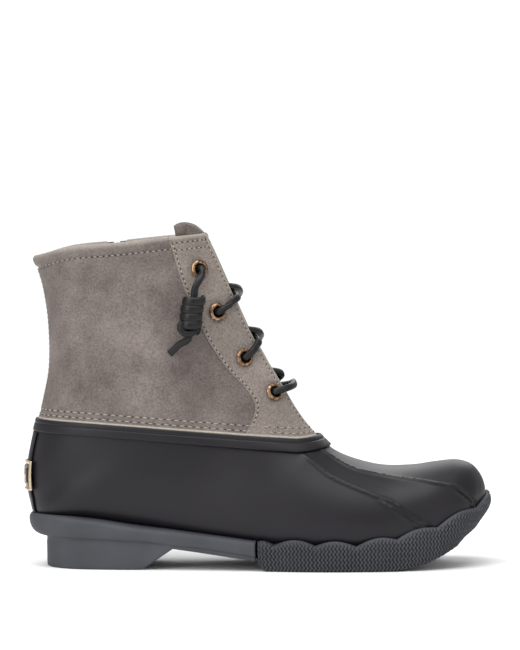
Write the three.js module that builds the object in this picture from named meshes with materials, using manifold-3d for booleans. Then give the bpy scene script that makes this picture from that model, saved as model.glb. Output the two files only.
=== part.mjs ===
// A laced deck boot for the right foot: a rubber shell, a leather shaft above it and a zip on the inner side.
// Millimetres, +Z up, +X to the toe, -Y to the outer side. The origin is the middle of the heel's tread.
import * as THREE from "three";
import { mergeVertices } from "three/addons/utils/BufferGeometryUtils.js";
import Module from "manifold-3d";

const wasm = await Module();
wasm.setup();

// ---------------------------------------------------------------- driving dimensions

const BOOT_LENGTH = 274.8; // shell, heel back to toe tip
const BOOT_WIDTH = 90.4; // shell, across the ball
const SHAFT_HEIGHT = 112; // shell's top edge to the collar
const GAP = 0.3; // between pieces that touch

const SHELL_WALL = 3.6;
const SHELL_LIP_HEIGHT = 12; // the thinner lip that stands up behind the leather
const BAND = { height: 7.6, thickness: 1.4 };
const HEEL_STRIP = { width: 22, thickness: 1.1 };
const BADGE = { width: 28, low: 46, high: 63, thickness: 0.9 };
const LEATHER = 2.0;
const LINING = 2.5;
const LINING_BELOW_COLLAR = 1.5;
const COLLAR_PAD_HEIGHT = 24;
const TONGUE = { thickness: 3, aheadOfSeam: 7, foot: 72 };
const GUSSET = { thickness: 1, behindSeam: 8 };
const THROAT_DEPTH = 10.4; // from the facings' outer face to the tongue, which leaves room for the lace
const FOOTBED = 5;
const SHANK = { length: 84, width: 15, thickness: 1.2 };

const SOLE_OVERHANG = 2.4; // how far the sole's rim stands out past the shell
const WRAP_OVERHANG = 1.6; // how far the forefoot's siped wrap stands out past that rim
const WRAP_START = 94; // the wrap begins here, ahead of the heel's middle
const SCALLOP = { pitch: 24, depth: 3.2 };

const LACE = 4;
const LACE_PLAY = 1.2; // all round the lace in an eyelet's hole
const LACE_HOLE = LACE + 2 * LACE_PLAY;
const EYELET = { flange: LACE_HOLE + 4.6, barrel: LACE_HOLE + 1.2, hole: LACE_HOLE, flangeHeight: 1.2,
  roll: LACE_HOLE + 2.8, rollHeight: 0.7 };
const EYELET_GRIP_PLAY = 0.8; // lets a flat roll sit on the facing's hollow side
const EYELET_HOLE_PLAY = 0.4;
const KNOT = { diameter: 13.6, length: 24, chamfer: 1.6, offBoot: 0.8 };
const FACING_GAP_TOP = 16.5; // half the opening between the facings
const FACING_GAP_FOOT = 8.5;

const ZIP = { tape: 26, tapeThickness: 0.8, chain: 5.6, chainThickness: 2.4, split: 1.4, slot: 12, stop: 3,
  stopProud: 0.8,  aboveShell: 6.5, belowCollar: 5 };
const SLIDER = { length: 13, width: 9, plate: 1.1, web: 0.7, arch: 2.2, archPost: 1.4, archWindow: 3.6 };
const PULL = { length: 16, width: 6.4, thickness: 1.6, hole: 3.2, holeLength: 4.2, play: 0.45 };
const GUARD = { width: 30, thickness: 1, behindLining: 0.8 };

// ---------------------------------------------------------------- colours and finishes

const BLACK_RUBBER = { color: 0x2b2a2e, roughness: 0.5, metalness: 0 };
const GREY_RUBBER = { color: 0x54565b, roughness: 0.7, metalness: 0 };
const GREY_LEATHER = { color: 0x8b8380, roughness: 0.85, metalness: 0 };
const BLACK_LACE = { color: 0x1d1d20, roughness: 0.45, metalness: 0 };
const AGED_BRASS = { color: 0xa5794f, roughness: 0.35, metalness: 1 };
const PALE_GOLD = { color: 0xd8c6a4, roughness: 0.3, metalness: 1 };
const FLEECE = { color: 0x77736f, roughness: 1, metalness: 0 };
const FOAM = { color: 0xc9c4b8, roughness: 1, metalness: 0 };
const BOARD = { color: 0xa08a68, roughness: 0.9, metalness: 0 };
const STEEL = { color: 0x8c8f93, roughness: 0.4, metalness: 1 };
const BLACK_TAPE = { color: 0x232326, roughness: 0.9, metalness: 0 };

const boot = new THREE.Group();

// ---------------------------------------------------------------- outer form

// Stations from the toe tip over the foot and up the shaft. Each is a closed section between a point on the
// top or front line (fx, fz) and one on the sole or back line (kx, kz), with its outer and inner sides in Y,
// the squareness of its sole end and of its top end, and how far up the section it is widest.
const COLUMNS = ["fx", "fz", "kx", "kz", "outer", "inner", "soleSquare", "topSquare", "widest"];
const STATIONS = [
  [233.4, 42, 233.4, 38.5, 5, 12, 2, 2, 0.5],
  [232.4, 48.5, 231.3, 32, -3, 20, 2, 2, 0.5],
  [229.4, 55, 228, 26.4, -11, 26.5, 2.1, 2, 0.48],
  [224, 60.4, 223, 21.6, -19, 32.5, 2.3, 2, 0.45],
  [215.5, 62.8, 215, 17.3, -26.5, 37, 2.5, 2, 0.42],
  [204, 62, 203.5, 13.6, -33, 40.3, 2.8, 2, 0.4],
  [189, 60, 188.5, 10.8, -38.5, 42.8, 3, 2, 0.38],
  [171, 60, 170, 9.4, -43, 44.3, 3.2, 1.95, 0.36],
  [154, 64, 148, 9.2, -45.6, 44.4, 3.2, 1.9, 0.34],
  [141.5, 69.6, 122, 10.4, -46, 42, 3.2, 1.9, 0.32],
  [133, 77.5, 92, 13.6, -44, 38.8, 3.2, 1.9, 0.32],
  [125.5, 87, 60, 18, -41, 36, 3.2, 1.9, 0.33],
  [119.5, 97, 28, 22.4, -38, 34.4, 3.1, 2, 0.35],
  [114.5, 107.5, -4, 25.6, -36, 33.8, 3, 2.1, 0.38],
  [109, 118, -33, 28.5, -35, 33.8, 2.7, 2.2, 0.43],
  [102.6, 128.5, -39.8, 40, -34.4, 33.9, 2.4, 2.3, 0.48],
  [95.8, 139, -41.4, 58, -34.2, 34, 2.3, 2.4, 0.5],
  [90.2, 150, -37.6, 80, -34.2, 34.1, 2.2, 2.5, 0.5],
  [84.9, 161, -32.8, 100, -34.2, 34.2, 2.2, 2.6, 0.5],
  [80.2, 172, -29.3, 120, -34.2, 34.3, 2.2, 2.6, 0.5],
  [75.9, 182, -29.6, 145, -34.2, 34.3, 2.2, 2.6, 0.5],
  [72.2, 190.5, -32.6, 166, -34.2, 34.4, 2.2, 2.6, 0.5],
  [69, 198, -36.4, 180, -34.2, 34.4, 2.2, 2.6, 0.5],
  [65.8, 206, -36.8, 189, -34.2, 34.4, 2.2, 2.6, 0.5],
  [62.8, 214, -36, 198, -34.2, 34.4, 2.2, 2.6, 0.5],
];
const LAST = STATIONS.length - 1;
// The sizes that the stations are drawn at.
const DRAWN = { length: 274.8, width: 90.4, shaft: 112, shaftBase: 76 };
const lengthwise = BOOT_LENGTH / DRAWN.length;
const crosswise = BOOT_WIDTH / DRAWN.width;

// A drawn place in a boot of the driving sizes: what is above the shell stretches with the shaft.
function height(z) {
  const above = Math.max(0, z - DRAWN.shaftBase);
  return z - above + (above * SHAFT_HEIGHT) / DRAWN.shaft;
}
const place = ([x, z]) => [x * lengthwise, height(z)];

// A smooth value of one column between the stations.
function at(column, t) {
  const values = STATIONS.map((station) => station[COLUMNS.indexOf(column)]);
  const i = Math.min(Math.max(Math.floor(t), 0), LAST - 1);
  const u = t - i;
  const [p1, p2] = [values[i], values[i + 1]];
  const p0 = i > 0 ? values[i - 1] : 2 * p1 - p2;
  const p3 = i + 2 <= LAST ? values[i + 2] : 2 * p2 - p1;
  return p1 + 0.5 * u * (p2 - p0 + u * (2 * p0 - 5 * p1 + 4 * p2 - p3 + u * (3 * p1 - p0 - 3 * p2 + p3)));
}

const signedPower = (v, p) => Math.sign(v) * Math.abs(v) ** p;

// A point of the form. t counts stations; turn goes from the sole or back line (0) over the outer side
// (a quarter) to the top or front line (a half), and back over the inner side.
function formPoint(t, turn) {
  const [c, s] = [Math.cos(turn * 2 * Math.PI), Math.sin(turn * 2 * Math.PI)];
  const power = 2 / at(c > 0 ? "soleSquare" : "topSquare", t);
  const widest = at("widest", t);
  const along = widest - (c > 0 ? widest : 1 - widest) * signedPower(c, power);
  const [outer, inner] = [at("outer", t) * crosswise, at("inner", t) * crosswise];
  const [fx, fz] = place([at("fx", t), at("fz", t)]);
  const [kx, kz] = place([at("kx", t), at("kz", t)]);
  return new THREE.Vector3(
    kx + (fx - kx) * along,
    (outer + inner) / 2 - (signedPower(s, power) * (inner - outer)) / 2,
    kz + (fz - kz) * along,
  );
}

function formNormal(t, turn) {
  const [low, high] = [Math.max(t - 0.02, 0.02), Math.min(t + 0.02, LAST)];
  const forward = formPoint(high, turn).sub(formPoint(low, turn));
  const round = formPoint(t, turn + 0.005).sub(formPoint(t, turn - 0.005));
  return round.cross(forward).normalize();
}

const surfacePoint = (t, turn, out) => formPoint(t, turn).addScaledVector(formNormal(t, turn), out);

// ---------------------------------------------------------------- solids

function solid(geometry) {
  const bare = geometry.clone();
  bare.deleteAttribute("normal");
  bare.deleteAttribute("uv");
  const merged = mergeVertices(bare, 1e-4);
  return new wasm.Manifold(
    new wasm.Mesh({
      numProp: 3,
      vertProperties: new Float32Array(merged.attributes.position.array),
      triVerts: new Uint32Array(merged.index.array),
    }),
  );
}

function add(name, shape, finish) {
  const made = shape.getMesh();
  const geometry = new THREE.BufferGeometry();
  geometry.setAttribute("position", new THREE.BufferAttribute(new Float32Array(made.vertProperties), 3));
  geometry.setIndex(new THREE.BufferAttribute(new Uint32Array(made.triVerts), 1));
  const mesh = new THREE.Mesh(geometry, new THREE.MeshStandardMaterial(finish));
  mesh.name = name;
  boot.add(mesh);
}

// Rows of points that each close on themselves, joined into one skin and capped at both ends.
function loft(rows) {
  const across = rows[0].length;
  const points = rows.flat();
  const faces = [];
  for (let i = 0; i + 1 < rows.length; i++) {
    for (let j = 0; j < across; j++) {
      const k = (j + 1) % across;
      const [a, b, c, d] = [i * across + j, i * across + k, (i + 1) * across + k, (i + 1) * across + j];
      faces.push(a, c, b, a, d, c);
    }
  }
  for (const row of [0, rows.length - 1]) {
    const middle = points.length;
    const centre = new THREE.Vector3();
    rows[row].forEach((p) => centre.addScaledVector(p, 1 / across));
    points.push(centre);
    for (let j = 0; j < across; j++) {
      const [a, b] = [row * across + j, row * across + ((j + 1) % across)];
      faces.push(...(row ? [middle, b, a] : [middle, a, b]));
    }
  }
  const skin = new THREE.BufferGeometry().setFromPoints(points).setIndex(faces);
  const made = solid(skin);
  if (made.volume() > 0) return made;
  for (let i = 0; i < faces.length; i += 3) [faces[i], faces[i + 1]] = [faces[i + 1], faces[i]];
  return solid(skin.setIndex(faces));
}

const TOE_START = 0.35; // where the toe's small flat cap is
const FORM_ROWS = 26;
const FORM_ROUND = 24;

// The whole form as a closed solid, moved out by one distance. All share one grid, so that nested skins stay
// the same distance apart all over.
const forms = new Map();
function form(out, from = TOE_START) {
  const key = `${out} ${from}`;
  if (!forms.has(key)) {
    const rows = [];
    for (let i = 0; i <= FORM_ROWS; i++) {
      const t = TOE_START + ((LAST - TOE_START) * i) / FORM_ROWS;
      if (t < from) continue;
      rows.push(Array.from({ length: FORM_ROUND }, (_, j) => surfacePoint(t, j / FORM_ROUND, out)));
    }
    forms.set(key, loft(rows));
  }
  return forms.get(key);
}
const wall = (outer, inner, from) => form(outer, from).subtract(form(inner, from));

// A flat outline pushed along one axis. Its own x and y are the boot's x and z, y and z, or x and y.
const AXES = {
  y: [new THREE.Vector3(1, 0, 0), new THREE.Vector3(0, 0, 1), new THREE.Vector3(0, -1, 0)],
  x: [new THREE.Vector3(0, 1, 0), new THREE.Vector3(0, 0, 1), new THREE.Vector3(1, 0, 0)],
  z: [new THREE.Vector3(1, 0, 0), new THREE.Vector3(0, 1, 0), new THREE.Vector3(0, 0, 1)],
};
function prism(outline, axis, from, to) {
  const depth = to - from;
  const made = new THREE.ExtrudeGeometry(outline, { depth, bevelEnabled: false, curveSegments: 10 });
  const push = AXES[axis][2];
  made.applyMatrix4(new THREE.Matrix4().makeBasis(...AXES[axis]));
  made.translate(...push.clone().multiplyScalar(axis === "y" ? -to : from).toArray());
  return solid(made);
}
const polygon = (points) => new THREE.Shape(points.map(([x, y]) => new THREE.Vector2(x, y)));

const SIDE = { from: -90, to: 290 }; // covers the boot's length
const HALF_SPAN = 90; // covers its half width
const BELOW = -40;
const ABOVE = 300;

// The height of a line seen from the side, at each x: smooth through its points, or straight between them.
function sideLine(points, smooth = true) {
  const placed = points.map((p) => new THREE.Vector2(...place(p)));
  const samples = smooth ? new THREE.SplineCurve(placed).getPoints(48) : placed;
  return (x) => {
    const next = samples.findIndex((p) => p.x > x);
    const i = next < 0 ? samples.length - 1 : Math.max(next, 1);
    const [a, b] = [samples[i - 1], samples[i]];
    const share = Math.min(Math.max((x - a.x) / (b.x - a.x), 0), 1);
    return a.y + (b.y - a.y) * share;
  };
}

// Everything between two side lines.
function between(below, above, { from = SIDE.from, to = SIDE.to, steps = 36 } = {}) {
  const xs = Array.from({ length: steps + 1 }, (_, i) => from + ((to - from) * i) / steps);
  const outline = [...xs.map((x) => [x, below(x)]), ...xs.reverse().map((x) => [x, above(x)])];
  return prism(polygon(outline), "y", -HALF_SPAN, HALF_SPAN);
}
const under = (line, above = 0, range) => between(() => BELOW, (x) => line(x) + above, range);
const over = (line, above = 0, range) => between((x) => line(x) + above, () => ABOVE, range);

// Everything behind a line that is x at each height, on one side of the boot.
function behind(lineX, shift, fromY, toY) {
  const outline = [[SIDE.from, BELOW], [lineX(BELOW) + shift, BELOW]];
  for (let z = 72; z <= 216; z += 12) outline.push([lineX(z) + shift, z]);
  outline.push([lineX(ABOVE) + shift, ABOVE], [SIDE.from, ABOVE]);
  return prism(polygon(outline), "y", fromY, toY);
}

// A line down the middle of the boot seen from the front: half a width at each height.
function frontGap(halfAt) {
  const zs = [BELOW, height(DRAWN.shaftBase), height(DRAWN.shaftBase + 1.2 * DRAWN.shaft), ABOVE];
  const right = zs.map((z) => [halfAt(z), z]);
  const left = zs.map((z) => [-halfAt(z), z]).reverse();
  return prism(polygon([...right, ...left]), "x", 0, SIDE.to);
}

// ---------------------------------------------------------------- lines of the design

const bandTop = sideLine([[-44, 88.6], [0, 86.6], [50, 82.7], [106, 78], [122, 77], [142, 79.5]]);
const collar = sideLine([[-42, 185], [-33, 187], [-20, 190.8], [-8, 192.6], [14, 194.4], [43, 197.6],
  [70, 200.5]]);
const feather = sideLine([[-44, 32.4], [-19, 32], [1, 30.3], [22, 27.2], [43, 24.8], [61, 22.7], [94, 18.5]]);
const wrapTop = sideLine([[94, 18], [127, 17.5], [152, 17], [175, 20.3], [197, 25.6], [217, 33.4], [230, 40],
  [240, 46]]);
const soleLine = sideLine(STATIONS.slice(1, 16).map(([, , kx, kz]) => [kx, kz]).reverse());
const crease = sideLine([[-50, 18.9], [0, 18], [29, 16.5], [44, 14.5], [48, 0]], false);
const underside = sideLine(
  [[-60, 0], [27, 0], [45, 12.8], [94.8, 5.7], [100, 0], [178, 0], [196, 3.7], [206.5, 8.4], [215, 13.2],
    [219.5, 18], [226.5, 22.8], [231, 27.6], [234, 32.4], [237, 38]],
  false,
);

// x at each height, for lines that stand up.
function standing(points) {
  const samples = new THREE.SplineCurve(points.map((p) => new THREE.Vector2(...place(p)))).getPoints(40);
  return (z) => {
    const next = samples.findIndex((p) => p.y > z);
    const i = next < 0 ? samples.length - 1 : Math.max(next, 1);
    const [a, b] = [samples[i - 1], samples[i]];
    return a.x + (b.x - a.x) * Math.min(Math.max((z - a.y) / (b.y - a.y), 0), 1);
  };
}
const eyestaySeam = standing([[88, 80], [92, 88], [94, 95], [92.9, 100.4], [87, 109], [76.6, 120.2],
  [64.2, 139.6], [51.8, 167.8], [43.9, 193.4], [41.5, 204]]);
const rise = (z) => Math.min(Math.max((z - height(DRAWN.shaftBase)) / SHAFT_HEIGHT, 0), 1.2);
const facingGap = (z) => (FACING_GAP_FOOT + (FACING_GAP_TOP - FACING_GAP_FOOT) * rise(z)) * crosswise;

// The zip's middle line, seen from the inner side: x at each height.
const [zipLow, zipHigh] = [place([4, 92]), place([10, 190])];
const zipX = (z) => zipLow[0] + ((zipHigh[0] - zipLow[0]) * (z - zipLow[1])) / (zipHigh[1] - zipLow[1]);
const zipStrip = (from, to, low, high) => prism(
  polygon([
    [zipX(low) + from, low], [zipX(low) + to, low], [zipX(high) + to, high], [zipX(high) + from, high],
  ]),
  "y", 10, HALF_SPAN,
);
const tapeHalf = ZIP.tape / 2;
const NOTCH_ABOVE_SHELL = 1.5; // the shell's lip is notched down to here for the zip
const zipNotch = zipStrip(-tapeHalf - GAP, tapeHalf + GAP, 0, ABOVE)
  .intersect(over(bandTop, NOTCH_ABOVE_SHELL));

// ---------------------------------------------------------------- rubber shell

const leatherIn = -LEATHER;
const behindLeather = leatherIn - GAP;
const shellIn = -SHELL_WALL;
const liningOut = shellIn - GAP;
const liningIn = liningOut - LINING;

const shellBody = form(0).intersect(under(bandTop));
const shellLip = form(behindLeather).intersect(under(bandTop, SHELL_LIP_HEIGHT)).subtract(zipNotch);
add("rubber_shell", shellBody.add(shellLip).subtract(form(shellIn)), BLACK_RUBBER);

const bandOut = GAP + BAND.thickness;
const bandLow = (x) => bandTop(x) - BAND.height;
add("shell_top_band", wall(bandOut, GAP).intersect(between(bandLow, bandTop)), BLACK_RUBBER);

const backStrip = (width, low, high) => prism(
  polygon([[-width / 2, low], [width / 2, low], [width / 2, high], [-width / 2, high]]), "x", SIDE.from, 0,
);
const stripOut = GAP + HEEL_STRIP.thickness;
const stripZone = between((x) => feather(x) + GAP, (x) => bandLow(x) - GAP);
const stripTrim = backStrip(HEEL_STRIP.width, 0, ABOVE);
add("heel_strip", wall(stripOut, GAP).intersect(stripZone).intersect(stripTrim), BLACK_RUBBER);

const badgeIn = stripOut + GAP;
const badgeTrim = backStrip(BADGE.width, BADGE.low, BADGE.high);
add("heel_badge", wall(badgeIn + BADGE.thickness, badgeIn).intersect(badgeTrim), PALE_GOLD);

// ---------------------------------------------------------------- sole

function planOutline(points) {
  const placed = points.map(([x, y]) => new THREE.Vector2(x * lengthwise, y * crosswise));
  const closed = new THREE.CatmullRomCurve3(placed.map((p) => new THREE.Vector3(p.x, p.y, 0)), true);
  return new THREE.Shape(closed.getPoints(44).slice(0, -1).map((p) => new THREE.Vector2(p.x, p.y)));
}
const solePlan = planOutline([
  [-37.5, 0], [-33, -18.5], [-18, -30], [10, -34.5], [50, -37], [94, -42], [130, -46.5], [160, -45.5],
  [188, -40.5],
  [212, -29], [227.5, -12], [231.5, 8], [227.5, 24], [212, 36.5], [188, 43.5], [160, 45.5], [130, 42.5],
  [94, 36], [50, 30.5], [10, 31.5], [-18, 28.5], [-33, 18],
]);
const heelPlan = planOutline([
  [-31, 0], [-27, -16.5], [-13, -28], [10, -32], [30, -32.5], [60, -33.5], [60, 28], [30, 28.5], [10, 29.5],
  [-13, 26.5], [-27, 16],
]);
const heelBlock = prism(heelPlan, "z", BELOW, ABOVE).intersect(under(crease, GAP));
const wrapStart = WRAP_START * lengthwise;
const waistEnd = { from: SIDE.from, to: wrapStart - GAP / 2 };
const blockTop = (x) => Math.min(soleLine(x) + SOLE_OVERHANG, feather(x));
const aboveCrease = between(crease, blockTop, waistEnd);
const soleBlock = prism(solePlan, "z", BELOW, ABOVE).intersect(aboveCrease);

// The steel shank lies in the outsole's waist, right under the shell.
const shankMiddle = 52 * lengthwise;
const shankTilt = Math.atan2(soleLine(12 * lengthwise) - soleLine(92 * lengthwise), 80 * lengthwise);
function shankBlock(play) {
  const [long, wide, thick] = [SHANK.length, SHANK.width, SHANK.thickness].map((size) => size + 2 * play);
  const made = new THREE.BoxGeometry(long, wide, thick);
  made.rotateY(shankTilt);
  made.translate(shankMiddle, 0, soleLine(shankMiddle) - 3 * GAP - SHANK.thickness);
  return solid(made);
}
add("shank", shankBlock(0), STEEL);

const rim = form(SOLE_OVERHANG).intersect(under(feather));
const outsole = rim.add(soleBlock).add(heelBlock).intersect(over(underside, 0, { ...waistEnd, steps: 60 }));
add("outsole", outsole.subtract(form(GAP)).subtract(shankBlock(GAP)), GREY_RUBBER);

// The forefoot's tread and the wrap that rises from it, with its scalloped top edge.
const wrapRange = { from: wrapStart + GAP / 2, to: SIDE.to, steps: 110 };
const scalloped = (x) => {
  const phase = ((x - wrapStart) / (SCALLOP.pitch * lengthwise)) * Math.PI;
  return wrapTop(x) + SCALLOP.depth * (Math.abs(Math.cos(phase)) - 0.5);
};
const wrap = form(SOLE_OVERHANG + WRAP_OVERHANG).intersect(under(scalloped, 0, wrapRange));
const treadBlock = prism(solePlan, "z", BELOW, ABOVE).intersect(under(soleLine, SOLE_OVERHANG));
const forefoot = wrap.add(treadBlock).intersect(over(underside, 0, { ...wrapRange, steps: 60 }));
add("forefoot_tread", forefoot.subtract(form(GAP)), GREY_RUBBER);

// ---------------------------------------------------------------- leather shaft

const slot = zipStrip(-ZIP.slot / 2, ZIP.slot / 2, bandTop(0), ABOVE);

const outerHalf = prism(polygon([[SIDE.from, BELOW], [SIDE.to, BELOW], [SIDE.to, ABOVE], [SIDE.from, ABOVE]]),
  "y", -HALF_SPAN, -GAP / 2);
const innerHalf = prism(polygon([[SIDE.from, BELOW], [SIDE.to, BELOW], [SIDE.to, ABOVE], [SIDE.from, ABOVE]]),
  "y", GAP / 2, HALF_SPAN);
const behindSeam = (shift) => behind(eyestaySeam, shift, -HALF_SPAN, HALF_SPAN);
const leather = wall(0, leatherIn).intersect(between((x) => bandTop(x) + GAP, collar));
const quarters = leather.intersect(behindSeam(-GAP / 2));
add("lateral_quarter", quarters.intersect(outerHalf), GREY_LEATHER);

const zipRear = behind(zipX, 0, 0, HALF_SPAN);
const innerQuarter = quarters.intersect(innerHalf).subtract(slot);
add("medial_rear_quarter", innerQuarter.intersect(zipRear), GREY_LEATHER);
add("medial_front_quarter", innerQuarter.subtract(zipRear), GREY_LEATHER);

// ---------------------------------------------------------------- places on the shaft

// The station and turn of a place on the form, given its height and how far it is along or across the boot.
function find(z, measure, target, turns) {
  const stationAt = (turn) => {
    let [low, high] = [7, LAST];
    for (let i = 0; i < 30; i++) {
      const middle = (low + high) / 2;
      if (formPoint(middle, turn).z < z) low = middle;
      else high = middle;
    }
    return low;
  };
  let [from, to] = turns;
  for (let i = 0; i < 30; i++) {
    const middle = (from + to) / 2;
    if (formPoint(stationAt(middle), middle)[measure] < target) from = middle;
    else to = middle;
  }
  return [stationAt(from), from];
}
const onSide = (side, [x, z]) => find(z, "x", x, side < 0 ? [0.02, 0.49] : [0.98, 0.51]);
const onFront = (y, z) => find(z, "y", y, [0.3, 0.7]);
const lift = ([t, turn], out) => surfacePoint(t, turn, out);

// A solid turned so that its own z points along an axis, and moved to a place.
function stand(geometry, axis, where) {
  const turned = new THREE.Quaternion().setFromUnitVectors(new THREE.Vector3(0, 0, 1), axis);
  return solid(geometry.clone().applyQuaternion(turned).translate(...where.toArray()));
}

// ---------------------------------------------------------------- facings and eyelets

const EYELET_PLACES = [[61.1, 178.3], [71.7, 152.8], [87.8, 125.5], [105.4, 104.6]].map(place);
const EYELET_SIDES = 10;
const SIDES = { lateral: -1, medial: 1 };
const FACING_LINING = SHELL_WALL - LEATHER - GAP;
const eyeletGrip = LEATHER + GAP + FACING_LINING + EYELET_GRIP_PLAY;

// An outline of radius and height, turned about the z axis.
function turned(outline, sides) {
  const points = outline.map(([radius, z]) => new THREE.Vector2(radius, z));
  return new THREE.LatheGeometry(points, sides).rotateX(Math.PI / 2);
}

// A turned eyelet: a flange on the leather, a barrel through it and a roll on the far side.
function eyeletShape() {
  const flange = EYELET.flange / 2;
  const barrel = EYELET.barrel / 2;
  const hole = EYELET.hole / 2;
  const roll = EYELET.roll / 2;
  const top = GAP + EYELET.flangeHeight;
  const low = -eyeletGrip - EYELET.rollHeight;
  const outline = [[hole, low], [roll, low], [roll, -eyeletGrip], [barrel, -eyeletGrip], [barrel, GAP],
    [flange, GAP], [flange, top], [hole, top], [hole, low]];
  return turned(outline, EYELET_SIDES);
}
const holeRadius = EYELET.barrel / 2 + EYELET_HOLE_PLAY;
const eyeletHole = new THREE.CylinderGeometry(holeRadius, holeRadius, 4 * eyeletGrip, EYELET_SIDES)
  .rotateX(Math.PI / 2);

const gapCut = frontGap(facingGap);
const facings = leather.subtract(behindSeam(GAP / 2)).subtract(gapCut);
const facingLinings = wall(behindLeather, shellIn)
  .intersect(between((x) => bandTop(x) + SHELL_LIP_HEIGHT + GAP, (x) => collar(x) - GAP))
  .subtract(behindSeam(GAP / 2))
  .subtract(gapCut);
const eyelets = {};
for (const [side, sign] of Object.entries(SIDES)) {
  const half = sign < 0 ? outerHalf : innerHalf;
  let facing = facings.intersect(half);
  let facingLining = facingLinings.intersect(half);
  eyelets[side] = EYELET_PLACES.map((where) => onSide(sign, where));
  eyelets[side].forEach((spot, i) => {
    const [where, axis] = [lift(spot, 0), formNormal(...spot)];
    const hole = stand(eyeletHole, axis, where);
    facing = facing.subtract(hole);
    facingLining = facingLining.subtract(hole);
    add(`eyelet_${side}_${i + 1}`, stand(eyeletShape(), axis, where), AGED_BRASS);
  });
  add(`${side}_facing`, facing, GREY_LEATHER);
  add(`${side}_facing_lining`, facingLining, GREY_LEATHER);
}

// ---------------------------------------------------------------- inside the boot

const boardTop = (x) => soleLine(x) - liningIn + 1.6;
add("insole_board", wall(liningOut, liningIn).intersect(under(boardTop)), BOARD);

const lining = wall(liningOut, liningIn)
  .intersect(between((x) => boardTop(x) + GAP, (x) => collar(x) - LINING_BELOW_COLLAR));
const throat = over(bandTop, 8).subtract(behindSeam(0));
add("fleece_lining", lining.subtract(throat).subtract(slot), FLEECE);

const footbedOut = liningIn - GAP;
add("footbed", form(footbedOut).intersect(under(soleLine, -footbedOut + FOOTBED)), FOAM);

const padding = wall(behindLeather, shellIn)
  .intersect(between((x) => collar(x) - COLLAR_PAD_HEIGHT, (x) => collar(x) - GAP))
  .intersect(behindSeam(-GAP / 2))
  .subtract(zipNotch);
const ahead = innerHalf.subtract(zipRear);
add("collar_padding_rear", padding.subtract(ahead), FOAM);
add("collar_padding_front", padding.intersect(ahead), FOAM);

// The tongue and the gussets that join it to the quarters, with room for the lace in front of them.
const tongueOut = -THROAT_DEPTH;
const tongueTop = sideLine([[30, 203], [44, 203.5], [52, 206], [58, 206.5], [64, 205], [72, 199]]);
const SHAFT_FROM = 8;
const tongue = wall(tongueOut, tongueOut - TONGUE.thickness, SHAFT_FROM)
  .intersect(between(() => height(TONGUE.foot), tongueTop))
  .subtract(behindSeam(TONGUE.aheadOfSeam));
add("tongue", tongue, GREY_LEATHER);

const gusset = wall(tongueOut, tongueOut - GUSSET.thickness, SHAFT_FROM)
  .intersect(between((x) => bandTop(x) + SHELL_LIP_HEIGHT, (x) => collar(x) - COLLAR_PAD_HEIGHT))
  .subtract(behindSeam(-GUSSET.behindSeam))
  .intersect(behindSeam(TONGUE.aheadOfSeam - GAP));
add("gusset_lateral", gusset.intersect(outerHalf), GREY_LEATHER);
add("gusset_medial", gusset.intersect(innerHalf), GREY_LEATHER);

// ---------------------------------------------------------------- lace

const LACE_SIDES = 8;
function tube(points, steps) {
  const section = new THREE.Shape();
  section.absarc(0, 0, LACE / 2, 0, 2 * Math.PI);
  const curve = new THREE.CatmullRomCurve3(points, false, "centripetal");
  const made = new THREE.ExtrudeGeometry(section, {
    extrudePath: curve, steps, curveSegments: LACE_SIDES / 2, bevelEnabled: false,
  });
  return solid(made);
}

const LACE_LIFT = 0.5; // between the lace and what it lies on
const LACE_ON_LEATHER = LACE / 2 + LACE_LIFT;
const LACE_ON_FLANGE = GAP + EYELET.flangeHeight + LACE / 2 + LACE_LIFT;
const LACE_BEHIND = -(SHELL_WALL + LACE / 2 + 0.4);
const LACE_BEHIND_ROLL = -(eyeletGrip + EYELET.rollHeight + LACE / 2 + 0.3);
const CROSSING = { over: 1.4, under: -3.5 };

// How far past each face of an eyelet the lace starts to bend.
const LACE_BEND = 0.15 * LACE + EYELET.flangeHeight;
const mixed = (a, b, share) => a + (b - a) * share;

// The lace through one eyelet, from its inner face to its outer face or the other way.
function throughEyelet(spot, outward) {
  const made = [-LACE_BEND - eyeletGrip, -eyeletGrip / 3, LACE_BEND].map((out) => lift(spot, out));
  return outward ? made : made.reverse();
}

// The lace from one eyelet's outer face, over its facing's edge and under the other facing to the next one.
function strand(side, k, crossOut) {
  const [from, to] = [EYELET_PLACES[k], EYELET_PLACES[k - 1]];
  const sign = SIDES[side];
  const edge = (s, share, extra) => {
    const z = mixed(from[1], to[1], share);
    return onFront(s * (facingGap(z) + extra), z);
  };
  const start = eyelets[side][k];
  const far = eyelets[side === "lateral" ? "medial" : "lateral"][k - 1];
  const nearEdge = edge(sign, 0.3, 1);
  const farEdge = edge(-sign, 0.72, 2);
  const mid = (a, b, share) => [mixed(a[0], b[0], share), mixed(a[1], b[1], share)];
  return [
    lift(mid(start, nearEdge, 0.3), LACE_ON_FLANGE + 0.6),
    lift(mid(start, nearEdge, 0.65), LACE_ON_LEATHER + 1),
    lift(nearEdge, LACE_ON_LEATHER),
    lift(edge(sign, 0.5, -facingGap(from[1])), crossOut),
    lift(farEdge, LACE_BEHIND - 0.6),
    lift(mid(farEdge, far, 0.6), LACE_BEHIND_ROLL),
  ];
}

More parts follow.
